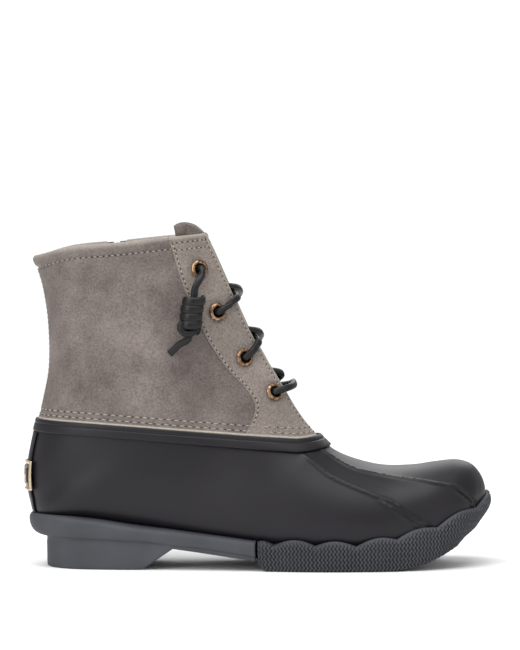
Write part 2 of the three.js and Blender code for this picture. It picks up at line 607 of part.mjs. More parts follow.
// The lowest crossing, which runs behind both facings.
function lowStrand(fromSide, crossOut) {
  const sign = SIDES[fromSide];
  const [low, high] = [eyelets[fromSide][3], eyelets[fromSide === "lateral" ? "medial" : "lateral"][2]];
  const [z4, z3] = [EYELET_PLACES[3][1], EYELET_PLACES[2][1]];
  const near = onFront(sign * (facingGap(z4) + 1), mixed(z4, z3, 0.25));
  const far = onFront(-sign * (facingGap(z3) + 1), mixed(z4, z3, 0.75));
  const mid = (a, b, share) => [mixed(a[0], b[0], share), mixed(a[1], b[1], share)];
  return [
    lift(mid(low, near, 0.5), LACE_BEHIND_ROLL),
    lift(near, LACE_BEHIND - 0.4),
    lift(onFront(0, mixed(z4, z3, 0.5)), crossOut),
    lift(far, LACE_BEHIND - 0.4),
    lift(mid(high, far, 0.5), LACE_BEHIND_ROLL),
  ];
}

const LACE_START = 1; // the lace's two hanging ends begin here, just above the leather
const { lateral: L, medial: M } = eyelets;
const barOut = [LACE_ON_FLANGE + 1, LACE_ON_LEATHER + 1.6, LACE_ON_LEATHER + 0.8];
const bar = [-0.76, -0.45, 0, 0.45, 0.76].map((share, i) => {
  const z = EYELET_PLACES[3][1] + 3.5 * (1 - Math.abs(share));
  return lift(onFront(share * Math.abs(formPoint(...L[3]).y), z), barOut[Math.min(i, 4 - i)]);
});
const laceRoute = [
  ...[LACE_START, -eyeletGrip / 3, -LACE_BEND - eyeletGrip].map((out) => lift(L[0], out)),
  ...strand("medial", 1, CROSSING.over).reverse(),
  ...throughEyelet(M[1], false),
  ...strand("lateral", 2, CROSSING.under).reverse(),
  ...throughEyelet(L[2], false),
  ...lowStrand("medial", CROSSING.over - 2).reverse(),
  ...throughEyelet(M[3], true),
  ...[...bar].reverse(),
  ...throughEyelet(L[3], false),
  ...lowStrand("lateral", CROSSING.under - 2.5),
  ...throughEyelet(M[2], true),
  ...strand("medial", 2, CROSSING.over),
  ...throughEyelet(L[1], true),
  ...strand("lateral", 1, CROSSING.under),
  ...[-LACE_BEND - eyeletGrip, -eyeletGrip / 3, LACE_START].map((out) => lift(M[0], out)),
];
add("lace", tube(laceRoute, 120), BLACK_LACE);

// Each end of the lace hangs from its top eyelet, through a barrel knot, with a short tail below.
const KNOT_SIDES = 14;
const KNOT_PLACES = { top: [56.5, 164], foot: [54, 140], tail: [[49, 134], [43.5, 128.5]] };
for (const [side, sign] of Object.entries(SIDES)) {
  const knotOut = KNOT.diameter / 2 + KNOT.offBoot;
  const onBoot = (p, out) => lift(onSide(sign, place(p)), out);
  const [top, foot] = [onBoot(KNOT_PLACES.top, knotOut), onBoot(KNOT_PLACES.foot, knotOut)];
  const axis = top.clone().sub(foot).normalize();
  const middle = top.clone().add(foot).multiplyScalar(0.5);
  const along = (share) => middle.clone().addScaledVector(axis, share * KNOT.length);
  const spot = eyelets[side][0];
  const route = [
    lift(spot, LACE_START + GAP), lift(spot, 3.4), onBoot([60.4, 174.5], 6.2),
    ...[0.64, 0.5, 0.25, 0, -0.25, -0.5, -0.62].map(along),
    onBoot(KNOT_PLACES.tail[0], 4.6), onBoot(KNOT_PLACES.tail[1], LACE_ON_LEATHER + 0.6),
  ];
  add(`${side}_lace_end`, tube(route, 26), BLACK_LACE);

  const [core, radius] = [LACE / 2 + GAP, KNOT.diameter / 2];
  const half = KNOT.length / 2;
  const shoulder = radius - KNOT.chamfer;
  const straight = half - KNOT.chamfer;
  const wrap = [[core, -half], [shoulder, -half], [radius, -straight], [radius, straight],
    [shoulder, half], [core, half], [core, -half]];
  const barrel = turned(wrap, KNOT_SIDES);
  add(`${side}_barrel_knot`, stand(barrel, axis, middle), BLACK_LACE);
}

// ---------------------------------------------------------------- zip on the inner side

// The zip's own frame: across it, up it and out of the boot, from a place on its middle line.
const TAPE_DEPTH = behindLeather - 0.1;
const chainDepth = TAPE_DEPTH - ZIP.tapeThickness / 2;
function onZip(z) {
  const spot = lift(onSide(1, [zipX(z), z]), chainDepth);
  return spot.setX(zipX(spot.z));
}
const zipFoot = onZip(bandTop(0) + ZIP.aboveShell);
const zipTop = onZip(collar(0) - ZIP.belowCollar);
const up = zipTop.clone().sub(zipFoot).normalize();
const zipMiddle = onSide(1, [zipX(height(140)), height(140)]);
const outward = formNormal(...zipMiddle).addScaledVector(up, -formNormal(...zipMiddle).dot(up)).normalize();
const across = up.clone().cross(outward); // towards the heel
const zipLength = zipTop.distanceTo(zipFoot);

// A box or an outline in the zip's frame: how far across, up from the zip's foot and out, as middle and size.
const zipBasis = new THREE.Matrix4().makeBasis(across, up, outward).setPosition(zipFoot);
function zipBox(size, middle) {
  return solid(new THREE.BoxGeometry(...size).translate(...middle).applyMatrix4(zipBasis));
}

const tapeWall = wall(TAPE_DEPTH, TAPE_DEPTH - ZIP.tapeThickness);
const tapeRange = between((x) => bandTop(x) + GAP + NOTCH_ABOVE_SHELL, (x) => collar(x) - GAP);
const tapeEdge = ZIP.chain / 2 + GAP;
const row = (ZIP.chain - ZIP.split) / 2;
const stopThickness = ZIP.chainThickness + ZIP.stopProud;
const rowMiddle = (ZIP.split + row) / 2;
for (const [name, sign] of [["rear", 1], ["front", -1]]) {
  const edges = [sign * -tapeEdge, sign * -tapeHalf].sort((a, b) => a - b);
  const strip = zipStrip(...edges, bandTop(0), ABOVE);
  add(`zip_tape_${name}`, tapeWall.intersect(tapeRange).intersect(strip), BLACK_TAPE);
  const teethLength = zipLength - 2 * ZIP.stop;
  const teeth = zipBox([row, teethLength, ZIP.chainThickness], [sign * rowMiddle, zipLength / 2, 0]);
  add(`zip_teeth_${name}`, teeth, AGED_BRASS);
  const stopUp = zipLength - ZIP.stop / 2 + GAP;
  const stop = zipBox([row, ZIP.stop - GAP, stopThickness], [sign * rowMiddle, stopUp, 0]);
  add(`zip_top_stop_${name}`, stop, AGED_BRASS);
}
const bottomStop = zipBox([ZIP.chain, ZIP.stop - GAP, stopThickness], [0, (ZIP.stop - GAP) / 2, 0]);
add("zip_bottom_stop", bottomStop, AGED_BRASS);

const sliderUp = zipLength - ZIP.stop - SLIDER.length / 2 - GAP;
const plateOut = ZIP.chainThickness / 2 + GAP + SLIDER.plate / 2;
const plateSize = [SLIDER.width, SLIDER.length, SLIDER.plate];
const plateFace = plateOut + SLIDER.plate / 2;
const windowHeight = PULL.thickness + 2 * PULL.play;
const postHeight = windowHeight + SLIDER.plate;
const postUp = (SLIDER.archWindow + SLIDER.archPost) / 2;
const slider = [
  zipBox(plateSize, [0, sliderUp, plateOut]),
  zipBox(plateSize, [0, sliderUp, -plateOut]),
  zipBox([SLIDER.web, SLIDER.length, 2 * plateOut], [0, sliderUp, 0]),
  ...[-1, 1].map((s) => zipBox(
    [SLIDER.arch, SLIDER.archPost, postHeight], [0, sliderUp + s * postUp, plateFace + postHeight / 2 - 0.1],
  )),
  zipBox(
    [SLIDER.arch, SLIDER.archWindow + 2 * SLIDER.archPost, SLIDER.plate],
    [0, sliderUp, plateFace + windowHeight + SLIDER.plate / 2],
  ),
].reduce((a, b) => a.add(b));
add("zip_slider", slider, AGED_BRASS);

// The pull hangs on the slider's arch by the bar above its hole.
const pullBar = PULL.thickness / 2;
const pullOutline = new THREE.Shape();
const halfPull = PULL.width / 2;
pullOutline.moveTo(-halfPull, pullBar);
pullOutline.lineTo(-halfPull, pullBar - PULL.length + halfPull);
pullOutline.absarc(0, pullBar - PULL.length + halfPull, halfPull, Math.PI, 2 * Math.PI);
pullOutline.lineTo(halfPull, pullBar);
pullOutline.closePath();
const holeTop = -pullBar;
const hole = new THREE.Path();
hole.moveTo(-PULL.hole / 2, holeTop);
hole.lineTo(PULL.hole / 2, holeTop);
hole.lineTo(PULL.hole / 2, holeTop - PULL.holeLength);
hole.lineTo(-PULL.hole / 2, holeTop - PULL.holeLength);
hole.closePath();
pullOutline.holes.push(hole);
const pull = new THREE.ExtrudeGeometry(pullOutline, {
  depth: PULL.thickness, bevelEnabled: false, curveSegments: 8,
});
pull.translate(0, sliderUp, plateFace + PULL.play).applyMatrix4(zipBasis);
add("zip_pull", solid(pull), AGED_BRASS);

const guardOut = liningIn - GUARD.behindLining;
const guardWall = wall(guardOut, guardOut - GUARD.thickness);
add(
  "zip_guard",
  guardWall.intersect(between((x) => bandTop(x) + GAP, (x) => collar(x) - LINING_BELOW_COLLAR))
    .intersect(zipStrip(-GUARD.width / 2, GUARD.width / 2, bandTop(0), ABOVE)),
  BLACK_TAPE,
);

export default boot;
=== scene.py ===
import math

import bmesh
import bpy
import numpy as np
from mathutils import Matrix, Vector


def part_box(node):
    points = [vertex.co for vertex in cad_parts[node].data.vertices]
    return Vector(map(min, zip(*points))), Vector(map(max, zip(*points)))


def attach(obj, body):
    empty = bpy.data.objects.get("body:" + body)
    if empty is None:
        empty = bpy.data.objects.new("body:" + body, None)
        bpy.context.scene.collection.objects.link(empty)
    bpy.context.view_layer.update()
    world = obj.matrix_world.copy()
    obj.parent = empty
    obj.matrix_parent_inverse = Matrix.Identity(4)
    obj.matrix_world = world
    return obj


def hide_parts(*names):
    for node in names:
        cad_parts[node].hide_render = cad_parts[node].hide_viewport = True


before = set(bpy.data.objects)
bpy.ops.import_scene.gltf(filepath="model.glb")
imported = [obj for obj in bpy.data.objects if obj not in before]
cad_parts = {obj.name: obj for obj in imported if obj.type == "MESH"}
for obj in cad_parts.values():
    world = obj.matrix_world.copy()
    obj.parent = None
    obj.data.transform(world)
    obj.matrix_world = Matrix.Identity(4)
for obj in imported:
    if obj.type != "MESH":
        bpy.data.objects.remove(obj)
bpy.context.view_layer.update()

# ==== studio
# The boot stands on seamless white paper and is seen from its outer side, under four large soft lamps. A
# long lens keeps its proportions true.

VIEW_CENTRE = Vector((0.0972, 0, 0.144))
VIEW_HEIGHT = 0.390
VIEW_DISTANCE = 2.2
VIEW_ELEVATION = math.radians(2.6)
SENSOR = 36

camera_data = bpy.data.cameras.new("camera")
camera_data.sensor_width = SENSOR
camera_data.lens = SENSOR * VIEW_DISTANCE / VIEW_HEIGHT
camera = bpy.data.objects.new("camera", camera_data)
camera_back = Vector((0, -math.cos(VIEW_ELEVATION), math.sin(VIEW_ELEVATION)))
camera.location = VIEW_CENTRE + camera_back * VIEW_DISTANCE
camera.rotation_euler = camera_back.to_track_quat("Z", "Y").to_euler()
bpy.context.scene.collection.objects.link(camera)
bpy.context.scene.camera = camera


def linear(code):
    """A colour written as sRGB hex, such as "8C8582", as linear light."""
    parts = [int(code[i:i + 2], 16) / 255 for i in (0, 2, 4)]
    return (*[c / 12.92 if c <= 0.04045 else ((c + 0.055) / 1.055) ** 2.4 for c in parts], 1)


def feed(tree, node, **sockets):
    """Gives sockets, by name or as in _0 by number, a value or a link. A node stands for its first output."""
    for name, source in sockets.items():
        socket = node.inputs[int(name[1:]) if name[0] == "_" else name.replace("_", " ")]
        if isinstance(source, bpy.types.Node):
            source = source.outputs[0]
        if isinstance(source, bpy.types.NodeSocket):
            tree.links.new(source, socket)
        else:
            socket.default_value = source


def add(tree, kind, settings=None, **sockets):
    """Adds a node with its settings, a colour ramp's stops among them, and feeds its sockets."""
    node = tree.nodes.new(kind)
    for name, value in (settings or {}).items():
        if name == "stops":
            for element, (position, code) in zip(node.color_ramp.elements, value):
                element.position, element.color = position, linear(code)
        else:
            setattr(node, name, value)
    feed(tree, node, **sockets)
    return node


def new_material(name, **surface):
    """A material, its tree, its shader, which holds what is the same all over, and its Object coordinates."""
    material = bpy.data.materials.new(name)
    material.use_nodes = True
    tree = material.node_tree
    shader = tree.nodes["Principled BSDF"]
    feed(tree, shader, **surface)
    return material, tree, shader, add(tree, "ShaderNodeTexCoord").outputs["Object"]


# The studio's white walls light the boot softly, and look pure white behind it.
WALL_GLOW, WALL_WHITE = 0.5, 1.05
world = bpy.data.worlds.new("studio")
world.use_nodes = True
tree = world.node_tree
seen = add(tree, "ShaderNodeLightPath").outputs["Is Camera Ray"]
glow = add(tree, "ShaderNodeMapRange", Value=seen, To_Min=WALL_GLOW, To_Max=WALL_WHITE)
feed(tree, tree.nodes["Background"], Color=linear("FFFFFF"), Strength=glow)
bpy.context.scene.world = world
bpy.context.scene.view_settings.view_transform = "Standard"

LAMPS = {  # width and height, power, place, and where it is aimed
    "overhead_lamp": ((1.5, 1.1), 19, (-0.02, -0.35, 1.35), (0.1, 0, 0.08)),
    "key_lamp": ((0.9, 1.2), 12, (-0.75, -1.25, 0.75), (0.08, 0, 0.1)),
    "fill_lamp": ((0.9, 1.2), 2.5, (1.2, -1.05, 0.55), (0.12, 0, 0.08)),
    "back_lamp": ((1.2, 0.9), 8, (0.2, 1.3, 0.9), (0.1, 0, 0.1)),
}
for name, (size, power, place, aim) in LAMPS.items():
    data = bpy.data.lights.new(name, "AREA")
    data.shape, data.energy = "RECTANGLE", power
    data.size, data.size_y = size
    lamp = bpy.data.objects.new(name, data)
    lamp.location = place
    lamp.rotation_euler = (Vector(place) - Vector(aim)).to_track_quat("Z", "Y").to_euler()
    bpy.context.scene.collection.objects.link(lamp)

# Uncoated paper: matt and almost white, with a grain too fine to see but for its softness.
paper, tree, shader, place = new_material("seamless_paper", Roughness=0.9, Base_Color=linear("F6F6F6"))
grain = add(tree, "ShaderNodeTexNoise", Vector=place, Scale=430.0)
feed(tree, shader, Normal=add(tree, "ShaderNodeBump", Strength=0.03, Distance=0.0002, Height=grain))

FLOOR_HALF = 1.05
corners = [(x, y, 0) for y in (-FLOOR_HALF, FLOOR_HALF) for x in (-FLOOR_HALF, FLOOR_HALF)]
floor_mesh = bpy.data.meshes.new("floor")
floor_mesh.from_pydata(corners, [], [(0, 1, 3, 2)])
floor_mesh.materials.append(paper)
floor = bpy.data.objects.new("floor", floor_mesh)
bpy.context.scene.collection.objects.link(floor)

# ==== lace ends
# Two ends of one rawhide lace: each hangs out of its top eyelet, runs through a barrel knot wound from
# the lace itself, and ends in a short tail cut square. Black waxed rawhide, cut as a strip with rounded
# corners.
#
# They lie on the boot, so the last that the boot is made on comes first: closed sections from the toe tip
# over the foot and up the shaft, in millimetres. The columns are the top or front line (x, z), the sole
# or back line (x, z), the outer and inner sides in y, how square the sole end and the top end are, and
# how far up it is widest.

STATIONS = np.array([
    [233.4, 42, 233.4, 38.5, 5, 12, 2, 2, 0.5],
    [232.4, 48.5, 231.3, 32, -3, 20, 2, 2, 0.5],
    [229.4, 55, 228, 26.4, -11, 26.5, 2.1, 2, 0.48],
    [224, 60.4, 223, 21.6, -19, 32.5, 2.3, 2, 0.45],
    [215.5, 62.8, 215, 17.3, -26.5, 37, 2.5, 2, 0.42],
    [204, 62, 203.5, 13.6, -33, 40.3, 2.8, 2, 0.4],
    [189, 60, 188.5, 10.8, -38.5, 42.8, 3, 2, 0.38],
    [171, 60, 170, 9.4, -43, 44.3, 3.2, 1.95, 0.36],
    [154, 64, 148, 9.2, -45.6, 44.4, 3.2, 1.9, 0.34],
    [141.5, 69.6, 122, 10.4, -46, 42, 3.2, 1.9, 0.32],
    [133, 77.5, 92, 13.6, -44, 38.8, 3.2, 1.9, 0.32],
    [125.5, 87, 60, 18, -41, 36, 3.2, 1.9, 0.33],
    [119.5, 97, 28, 22.4, -38, 34.4, 3.1, 2, 0.35],
    [114.5, 107.5, -4, 25.6, -36, 33.8, 3, 2.1, 0.38],
    [109, 118, -33, 28.5, -35, 33.8, 2.7, 2.2, 0.43],
    [102.6, 128.5, -39.8, 40, -34.4, 33.9, 2.4, 2.3, 0.48],
    [95.8, 139, -41.4, 58, -34.2, 34, 2.3, 2.4, 0.5],
    [90.2, 150, -37.6, 80, -34.2, 34.1, 2.2, 2.5, 0.5],
    [84.9, 161, -32.8, 100, -34.2, 34.2, 2.2, 2.6, 0.5],
    [80.2, 172, -29.3, 120, -34.2, 34.3, 2.2, 2.6, 0.5],
    [75.9, 182, -29.6, 145, -34.2, 34.3, 2.2, 2.6, 0.5],
    [72.2, 190.5, -32.6, 166, -34.2, 34.4, 2.2, 2.6, 0.5],
    [69, 198, -36.4, 180, -34.2, 34.4, 2.2, 2.6, 0.5],
    [65.8, 206, -36.8, 189, -34.2, 34.4, 2.2, 2.6, 0.5],
    [62.8, 214, -36, 198, -34.2, 34.4, 2.2, 2.6, 0.5],
])
LAST = len(STATIONS) - 1
FOREFOOT = 7.0  # the shaft's lines all lie past this station
DRAWN_LENGTH, DRAWN_WIDTH, DRAWN_SHAFT, SHAFT_BASE = 274.8, 90.4, 112, 76
shell_low, shell_high = (np.array(corner) * 1000 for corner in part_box("rubber_shell"))
lengthwise = round((shell_high[0] - shell_low[0]) / DRAWN_LENGTH, 2)
crosswise = round((shell_high[1] - shell_low[1]) / DRAWN_WIDTH, 2)


def at(column, t):
    """One column between the stations, smoothly."""
    values = STATIONS[:, column]
    ends = np.concatenate([[2 * values[0] - values[1]], values, [2 * values[-1] - values[-2]]])
    i = np.clip(np.floor(t).astype(int), 0, LAST - 1)
    u = t - i
    p0, p1, p2, p3 = (ends[i + k] for k in range(4))
    return p1 + 0.5 * u * (p2 - p0 + u * (2 * p0 - 5 * p1 + 4 * p2 - p3 + u * (3 * p1 - p0 - 3 * p2 + p3)))


def form_point(t, turn):
    """A point of the last. Turn goes from the sole or back line, 0, over the outer side to the front, 0.5."""
    t, turn = np.broadcast_arrays(np.asarray(t, float), np.asarray(turn, float))
    c, s = np.cos(turn * 2 * math.pi), np.sin(turn * 2 * math.pi)
    power = 2 / np.where(c > 0, at(6, t), at(7, t))
    widest = at(8, t)
    along = widest - np.where(c > 0, widest, 1 - widest) * np.sign(c) * np.abs(c) ** power
    outer, inner = at(4, t) * crosswise, at(5, t) * crosswise
    fx, fz, kx, kz = (at(k, t) * (lengthwise if k % 2 == 0 else 1) for k in range(4))
    y = (outer + inner) / 2 - np.sign(s) * np.abs(s) ** power * (inner - outer) / 2
    return np.stack([kx + (fx - kx) * along, y, kz + (fz - kz) * along], axis=-1)


def unit(v):
    return v / np.maximum(np.linalg.norm(v, axis=-1, keepdims=True), 1e-9)


def form_normal(t, turn):
    t = np.asarray(t, float)
    low, high = np.maximum(t - 0.02, 0.02), np.minimum(t + 0.02, LAST)
    forward = form_point(high, turn) - form_point(low, turn)
    around = form_point(t, turn + 0.004) - form_point(t, turn - 0.004)
    return unit(np.cross(around, forward))


def lift(t, turn, out):
    """A place this far out of the last, square to it."""
    return form_point(t, turn) + form_normal(t, turn) * np.asarray(out, float)[..., None]


def solve(test, low, high, steps=20):
    """Where test goes from below nought, at low, to above it, at high."""
    for _ in range(steps):
        middle = (low + high) / 2
        below = test(middle) < 0
        low, high = np.where(below, middle, low), np.where(below, high, middle)
    return (low + high) / 2


def find(z, axis, target, turns):
    """The station and turn of a place, given its height and its x (axis 0) or y (axis 1)."""
    z, target = np.broadcast_arrays(np.asarray(z, float), np.asarray(target, float))
    full = np.ones(z.shape)

    def station(turn):
        return solve(lambda t: form_point(t, turn)[..., 2] - z, FOREFOOT * full, LAST * full)

    turn = solve(lambda u: form_point(station(u), u)[..., axis] - target, turns[0] * full, turns[1] * full)
    return station(turn), turn


SIDES = {"lateral": -1, "medial": 1}
SIDE_TURNS = {"lateral": (0.02, 0.49), "medial": (0.98, 0.51)}


def on_side(side, x, z):
    return find(z, 0, x, SIDE_TURNS[side])


def on_front(y, z):
    return find(z, 1, y, (0.3, 0.7))


def smooth_line(points, count=600):
    """A smooth curve through points in a plane, as many close points."""
    points = np.array(points, float)
    ends = np.concatenate([points[:1], points, points[-1:]])
    where = np.linspace(0, len(points) - 1, count)
    i = np.minimum(where.astype(int), len(points) - 2)
    u = (where - i)[:, None]
    p0, p1, p2, p3 = (ends[i + k] for k in range(4))
    return p1 + 0.5 * u * (p2 - p0 + u * (2 * p0 - 5 * p1 + 4 * p2 - p3 + u * (3 * p1 - p0 - 3 * p2 + p3)))


def side_line(points, smooth=True):
    """The height of a line seen from the side, at each x."""
    drawn = smooth_line(points) if smooth else np.array(points, float)
    return lambda x: np.interp(x, drawn[:, 0] * lengthwise, drawn[:, 1])


def standing_line(points):
    """x at each height, for a line that stands up."""
    drawn = smooth_line(points)
    return lambda z: np.interp(z, drawn[:, 1], drawn[:, 0] * lengthwise)


def cord_line(points, count):
    """A curve through points in space that doesn't overshoot at close ones, as evenly spaced points."""
    points = np.array(points, float)
    points = np.concatenate([[2 * points[0] - points[1]], points, [2 * points[-1] - points[-2]]])
    made = []
    for k in range(1, len(points) - 2):
        p0, p1, p2, p3 = points[k - 1:k + 3]
        d0, d1, d2 = (max(np.linalg.norm(b - a) ** 0.5, 1e-3) for a, b in ((p0, p1), (p1, p2), (p2, p3)))
        m1 = ((p1 - p0) / d0 - (p2 - p0) / (d0 + d1) + (p2 - p1) / d1) * d1
        m2 = ((p2 - p1) / d1 - (p3 - p1) / (d1 + d2) + (p3 - p2) / d2) * d1
        u = np.linspace(0, 1, 24, endpoint=k == len(points) - 3)[:, None]
        made.append((2 * u**3 - 3 * u**2 + 1) * p1 + (u**3 - 2 * u**2 + u) * m1
                    + (3 * u**2 - 2 * u**3) * p2 + (u**3 - u**2) * m2)
    return evenly(np.concatenate(made), count)


def evenly(line, count):
    """The same line as evenly spaced points."""
    along = np.concatenate([[0], np.cumsum(np.linalg.norm(np.diff(line, axis=0), axis=1))])
    wanted = np.linspace(0, along[-1], count)
    return np.stack([np.interp(wanted, along, line[:, k]) for k in range(line.shape[1])], axis=1)


def make_piece(name, points, faces, material, attributes=None, smooth=True):
    """A mesh object from points in millimetres, closed up where points meet and facing outward."""
    mesh = bpy.data.meshes.new(name)
    mesh.from_pydata((np.asarray(points) / 1000).tolist(), [], faces)
    for key, values in (attributes or {}).items():
        layer = mesh.attributes.new(key, "FLOAT", "POINT")
        layer.data.foreach_set("value", np.asarray(values, np.float32).ravel())
    work = bmesh.new()
    work.from_mesh(mesh)
    bmesh.ops.remove_doubles(work, verts=work.verts, dist=2e-6)
    bmesh.ops.dissolve_degenerate(work, edges=work.edges, dist=1e-6)
    bmesh.ops.recalc_face_normals(work, faces=work.faces)
    work.to_mesh(mesh)
    work.free()
    mesh.polygons.foreach_set("use_smooth", [smooth] * len(mesh.polygons))
    mesh.materials.append(material)
    piece = bpy.data.objects.new(name, mesh)
    bpy.context.scene.collection.objects.link(piece)
    return piece


def grid_faces(rows, columns, closed=False, start=0):
    """The faces of a grid of points, row by row. A closed one joins its last column to its first."""
    across = columns if closed else columns - 1
    i, j = np.meshgrid(np.arange(rows - 1), np.arange(across), indexing="ij")
    k = (j + 1) % columns
    corners = [i * columns + j, i * columns + k, (i + 1) * columns + k, (i + 1) * columns + j]
    return (np.stack(corners, axis=-1).reshape(-1, 4) + start).tolist()


def strip_section(width, thickness, square=3.4, sides=16):
    """A strip's section with rounded corners, across and out."""
    angle = np.linspace(0, 2 * math.pi, sides, endpoint=False)
    c, s = np.cos(angle), np.sin(angle)
    return np.stack([
        width / 2 * np.sign(c) * np.abs(c) ** (2 / square),
        thickness / 2 * np.sign(s) * np.abs(s) ** (2 / square),
    ], axis=1)


def swept(line, out, section, swell=None):
    """The points and faces of a section carried along a line, with its second axis kept towards out."""
    ahead = unit(np.gradient(line, axis=0))
    out = unit(out - ahead * (out * ahead).sum(-1, keepdims=True))
    across = np.cross(out, ahead)
    size = np.ones(len(line)) if swell is None else swell
    rings = line[:, None] + size[:, None, None] * (
        section[None, :, :1] * across[:, None] + section[None, :, 1:] * out[:, None]
    )
    rows, sides = len(line), len(section)
    faces = grid_faces(rows, sides, closed=True)
    faces += [list(range(sides))[::-1], list(range((rows - 1) * sides, rows * sides))]
    return rings.reshape(-1, 3), faces


def softened_outs(line, outs):
    """Directions along a line, made steady: each carries on from the one before and is drawn to its own."""
    ahead = unit(np.gradient(line, axis=0))
    made = [outs[0]]
    for k in range(1, len(line)):
        carried = made[-1] * 0.82 + outs[k] * 0.18
        made.append(unit(carried - ahead[k] * np.dot(carried, ahead[k])))
    return np.array(made)


def fitted(piece, node, body="boot"):
    """Puts a piece on the body it moves with, and hides the node that it stands for."""
    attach(piece, body)
    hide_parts(node)
    return piece


# Waxed rawhide: cut from undyed hide, dyed black through and waxed, so it is dark with a soft, streaky
# shine.
rawhide, tree, shader, place = new_material(
    "waxed_black_rawhide", Roughness=0.42, IOR=1.48, Specular_IOR_Level=0.35)
streaks = add(tree, "ShaderNodeTexNoise", Vector=place, Scale=420.0, Detail=4.0)
tone = add(tree, "ShaderNodeValToRGB", {"stops": [(0.3, "08080A"), (0.75, "121214")]}, Fac=streaks)
gloss = add(tree, "ShaderNodeMapRange", Value=streaks, From_Min=0.3, From_Max=0.7, To_Min=0.34, To_Max=0.54)
grain = add(tree, "ShaderNodeTexNoise", Vector=place, Scale=2600.0, Detail=3.0)
bump = add(tree, "ShaderNodeBump", Height=grain, Strength=0.25, Distance=0.0001)
feed(tree, shader, Base_Color=tone, Roughness=gloss, Normal=bump)

EYELET_PLACES = [(61.1, 178.3), (71.7, 152.8), (87.8, 125.5), (105.4, 104.6)]
EYELETS = {side: [on_side(side, x, z) for x, z in EYELET_PLACES] for side in SIDES}
LACE, LACE_THICKNESS = 4.0, 3.5
LACE_START = 1.3  # how far out of its eyelet a hanging end is counted from
OUT_OF_EYELET, BENT_DOWN = 3.4, (60.4, 174.5)
TAIL = [((49, 134), 4.6), ((43.5, 128.5), 3.1)]  # each with its distance off the boot
KNOT = {"diameter": 13.6, "length": 24, "turns": 4, "strip": 5.4, "off_boot": 0.8, "slant": 1.1,
        "boxy": 2.8, "wide": 0.97, "deep": 0.93, "uneven": 0.07}
KNOT_TOP, KNOT_FOOT = (56.5, 164), (54, 140)
AXIS_SHARES = (0.64, 0.5, 0.25, 0, -0.25, -0.5, -0.62)  # places down the middle of the knot
# The end's way under the last turn: down the knot, across it and out of it.
TUCK = [(6, -5.6, 1.5), (9.5, -6.2, 2.4), (12.2, -3.2, 3.2), (11, 1.2, 3.4), (7.2, 3.4, 1.6)]

for side in SIDES:
    def on_boot(spot, out):
        return lift(*on_side(side, *spot), out)

    knot_out = KNOT["diameter"] / 2 + KNOT["off_boot"]
    top, foot = on_boot(KNOT_TOP, knot_out), on_boot(KNOT_FOOT, knot_out)
    axis, middle = unit(top - foot), (top + foot) / 2
    route = [
        lift(*EYELETS[side][0], LACE_START), lift(*EYELETS[side][0], OUT_OF_EYELET), on_boot(BENT_DOWN, 6.2),
        *[middle + axis * share * KNOT["length"] for share in AXIS_SHARES],
        *[on_boot(spot, out) for spot, out in TAIL],
    ]
    line = cord_line(route, 90)
    away = form_normal(*on_side(side, *KNOT_TOP))
    outs = softened_outs(line, np.repeat(away[None], len(line), 0))
    points, faces = swept(line, outs, strip_section(LACE, LACE_THICKNESS))
    end = make_piece(f"{side}_rawhide_end", points, faces, rawhide)

    # The lace is wound round itself four times, each turn pulled flat, and tucked back under at the foot.
    across = unit(np.cross(axis, away))
    wind = np.linspace(0, 1, 260)
    turns = wind * KNOT["turns"] * 2 * math.pi
    cosine, sine = np.cos(turns), np.sin(turns)
    reach = KNOT["diameter"] / 2 - LACE_THICKNESS * 0.47
    rise = (0.5 - wind) * (KNOT["length"] - KNOT["strip"]) - KNOT["slant"] * sine
    boxy = 1 / (np.abs(cosine) ** KNOT["boxy"] + np.abs(sine) ** KNOT["boxy"]) ** (1 / KNOT["boxy"])
    stagger = 1 + KNOT["uneven"] * np.sin(2.3 * turns / math.pi + 1.0)
    spread = reach * boxy * stagger * KNOT["wide"]
    coil = (middle + axis * rise[:, None] + across * (cosine * spread)[:, None]
            + away * (sine * reach * boxy * KNOT["deep"])[:, None])
    coil_out = across * cosine[:, None] + away * sine[:, None]
    points, faces = swept(coil, coil_out, strip_section(KNOT["strip"], LACE_THICKNESS * 0.94, 2.6))
    tuck = cord_line([middle - axis * down + across * aside + away * out for down, aside, out in TUCK], 40)
    tuck_section = strip_section(LACE, LACE_THICKNESS, 2.6)
    tuck_points, tuck_faces = swept(tuck, np.repeat(away[None], 40, 0), tuck_section)
    faces = faces + [[i + len(points) for i in face] for face in tuck_faces]
    knot = make_piece(f"{side}_wound_knot", np.concatenate([points, tuck_points]), faces, rawhide)

    fitted(end, f"{side}_lace_end", f"{side}_end")
    fitted(knot, f"{side}_barrel_knot", f"{side}_end")

# ==== rubber shell
# The galosh that keeps the water out: one injection-moulded shell of natural rubber, 3.6 mm thick, with a
# thinner lip that stands up behind the leather. Raised ribs fan out over the vamp from the throat to the
# toe.

# Moulded black rubber: satin from a lightly blasted mould, with broad soft reflections and hardly any
# colour.
black_rubber, tree, shader, place = new_material(
    "moulded_black_rubber", Roughness=0.45, IOR=1.52, Specular_IOR_Level=0.3)
cloud = add(tree, "ShaderNodeTexNoise", Vector=place, Scale=22.0, Detail=3.0)
tone = add(tree, "ShaderNodeValToRGB", {"stops": [(0.3, "0F0C11"), (0.75, "17141A")]}, Fac=cloud)
gloss = add(tree, "ShaderNodeMapRange", Value=cloud, From_Min=0.3, From_Max=0.7, To_Min=0.4, To_Max=0.5)
blast = add(tree, "ShaderNodeTexNoise", Vector=place, Scale=2400.0, Detail=2.0)
bump = add(tree, "ShaderNodeBump", Height=blast, Strength=0.12, Distance=0.00008)
feed(tree, shader, Base_Color=tone, Roughness=gloss, Normal=bump)

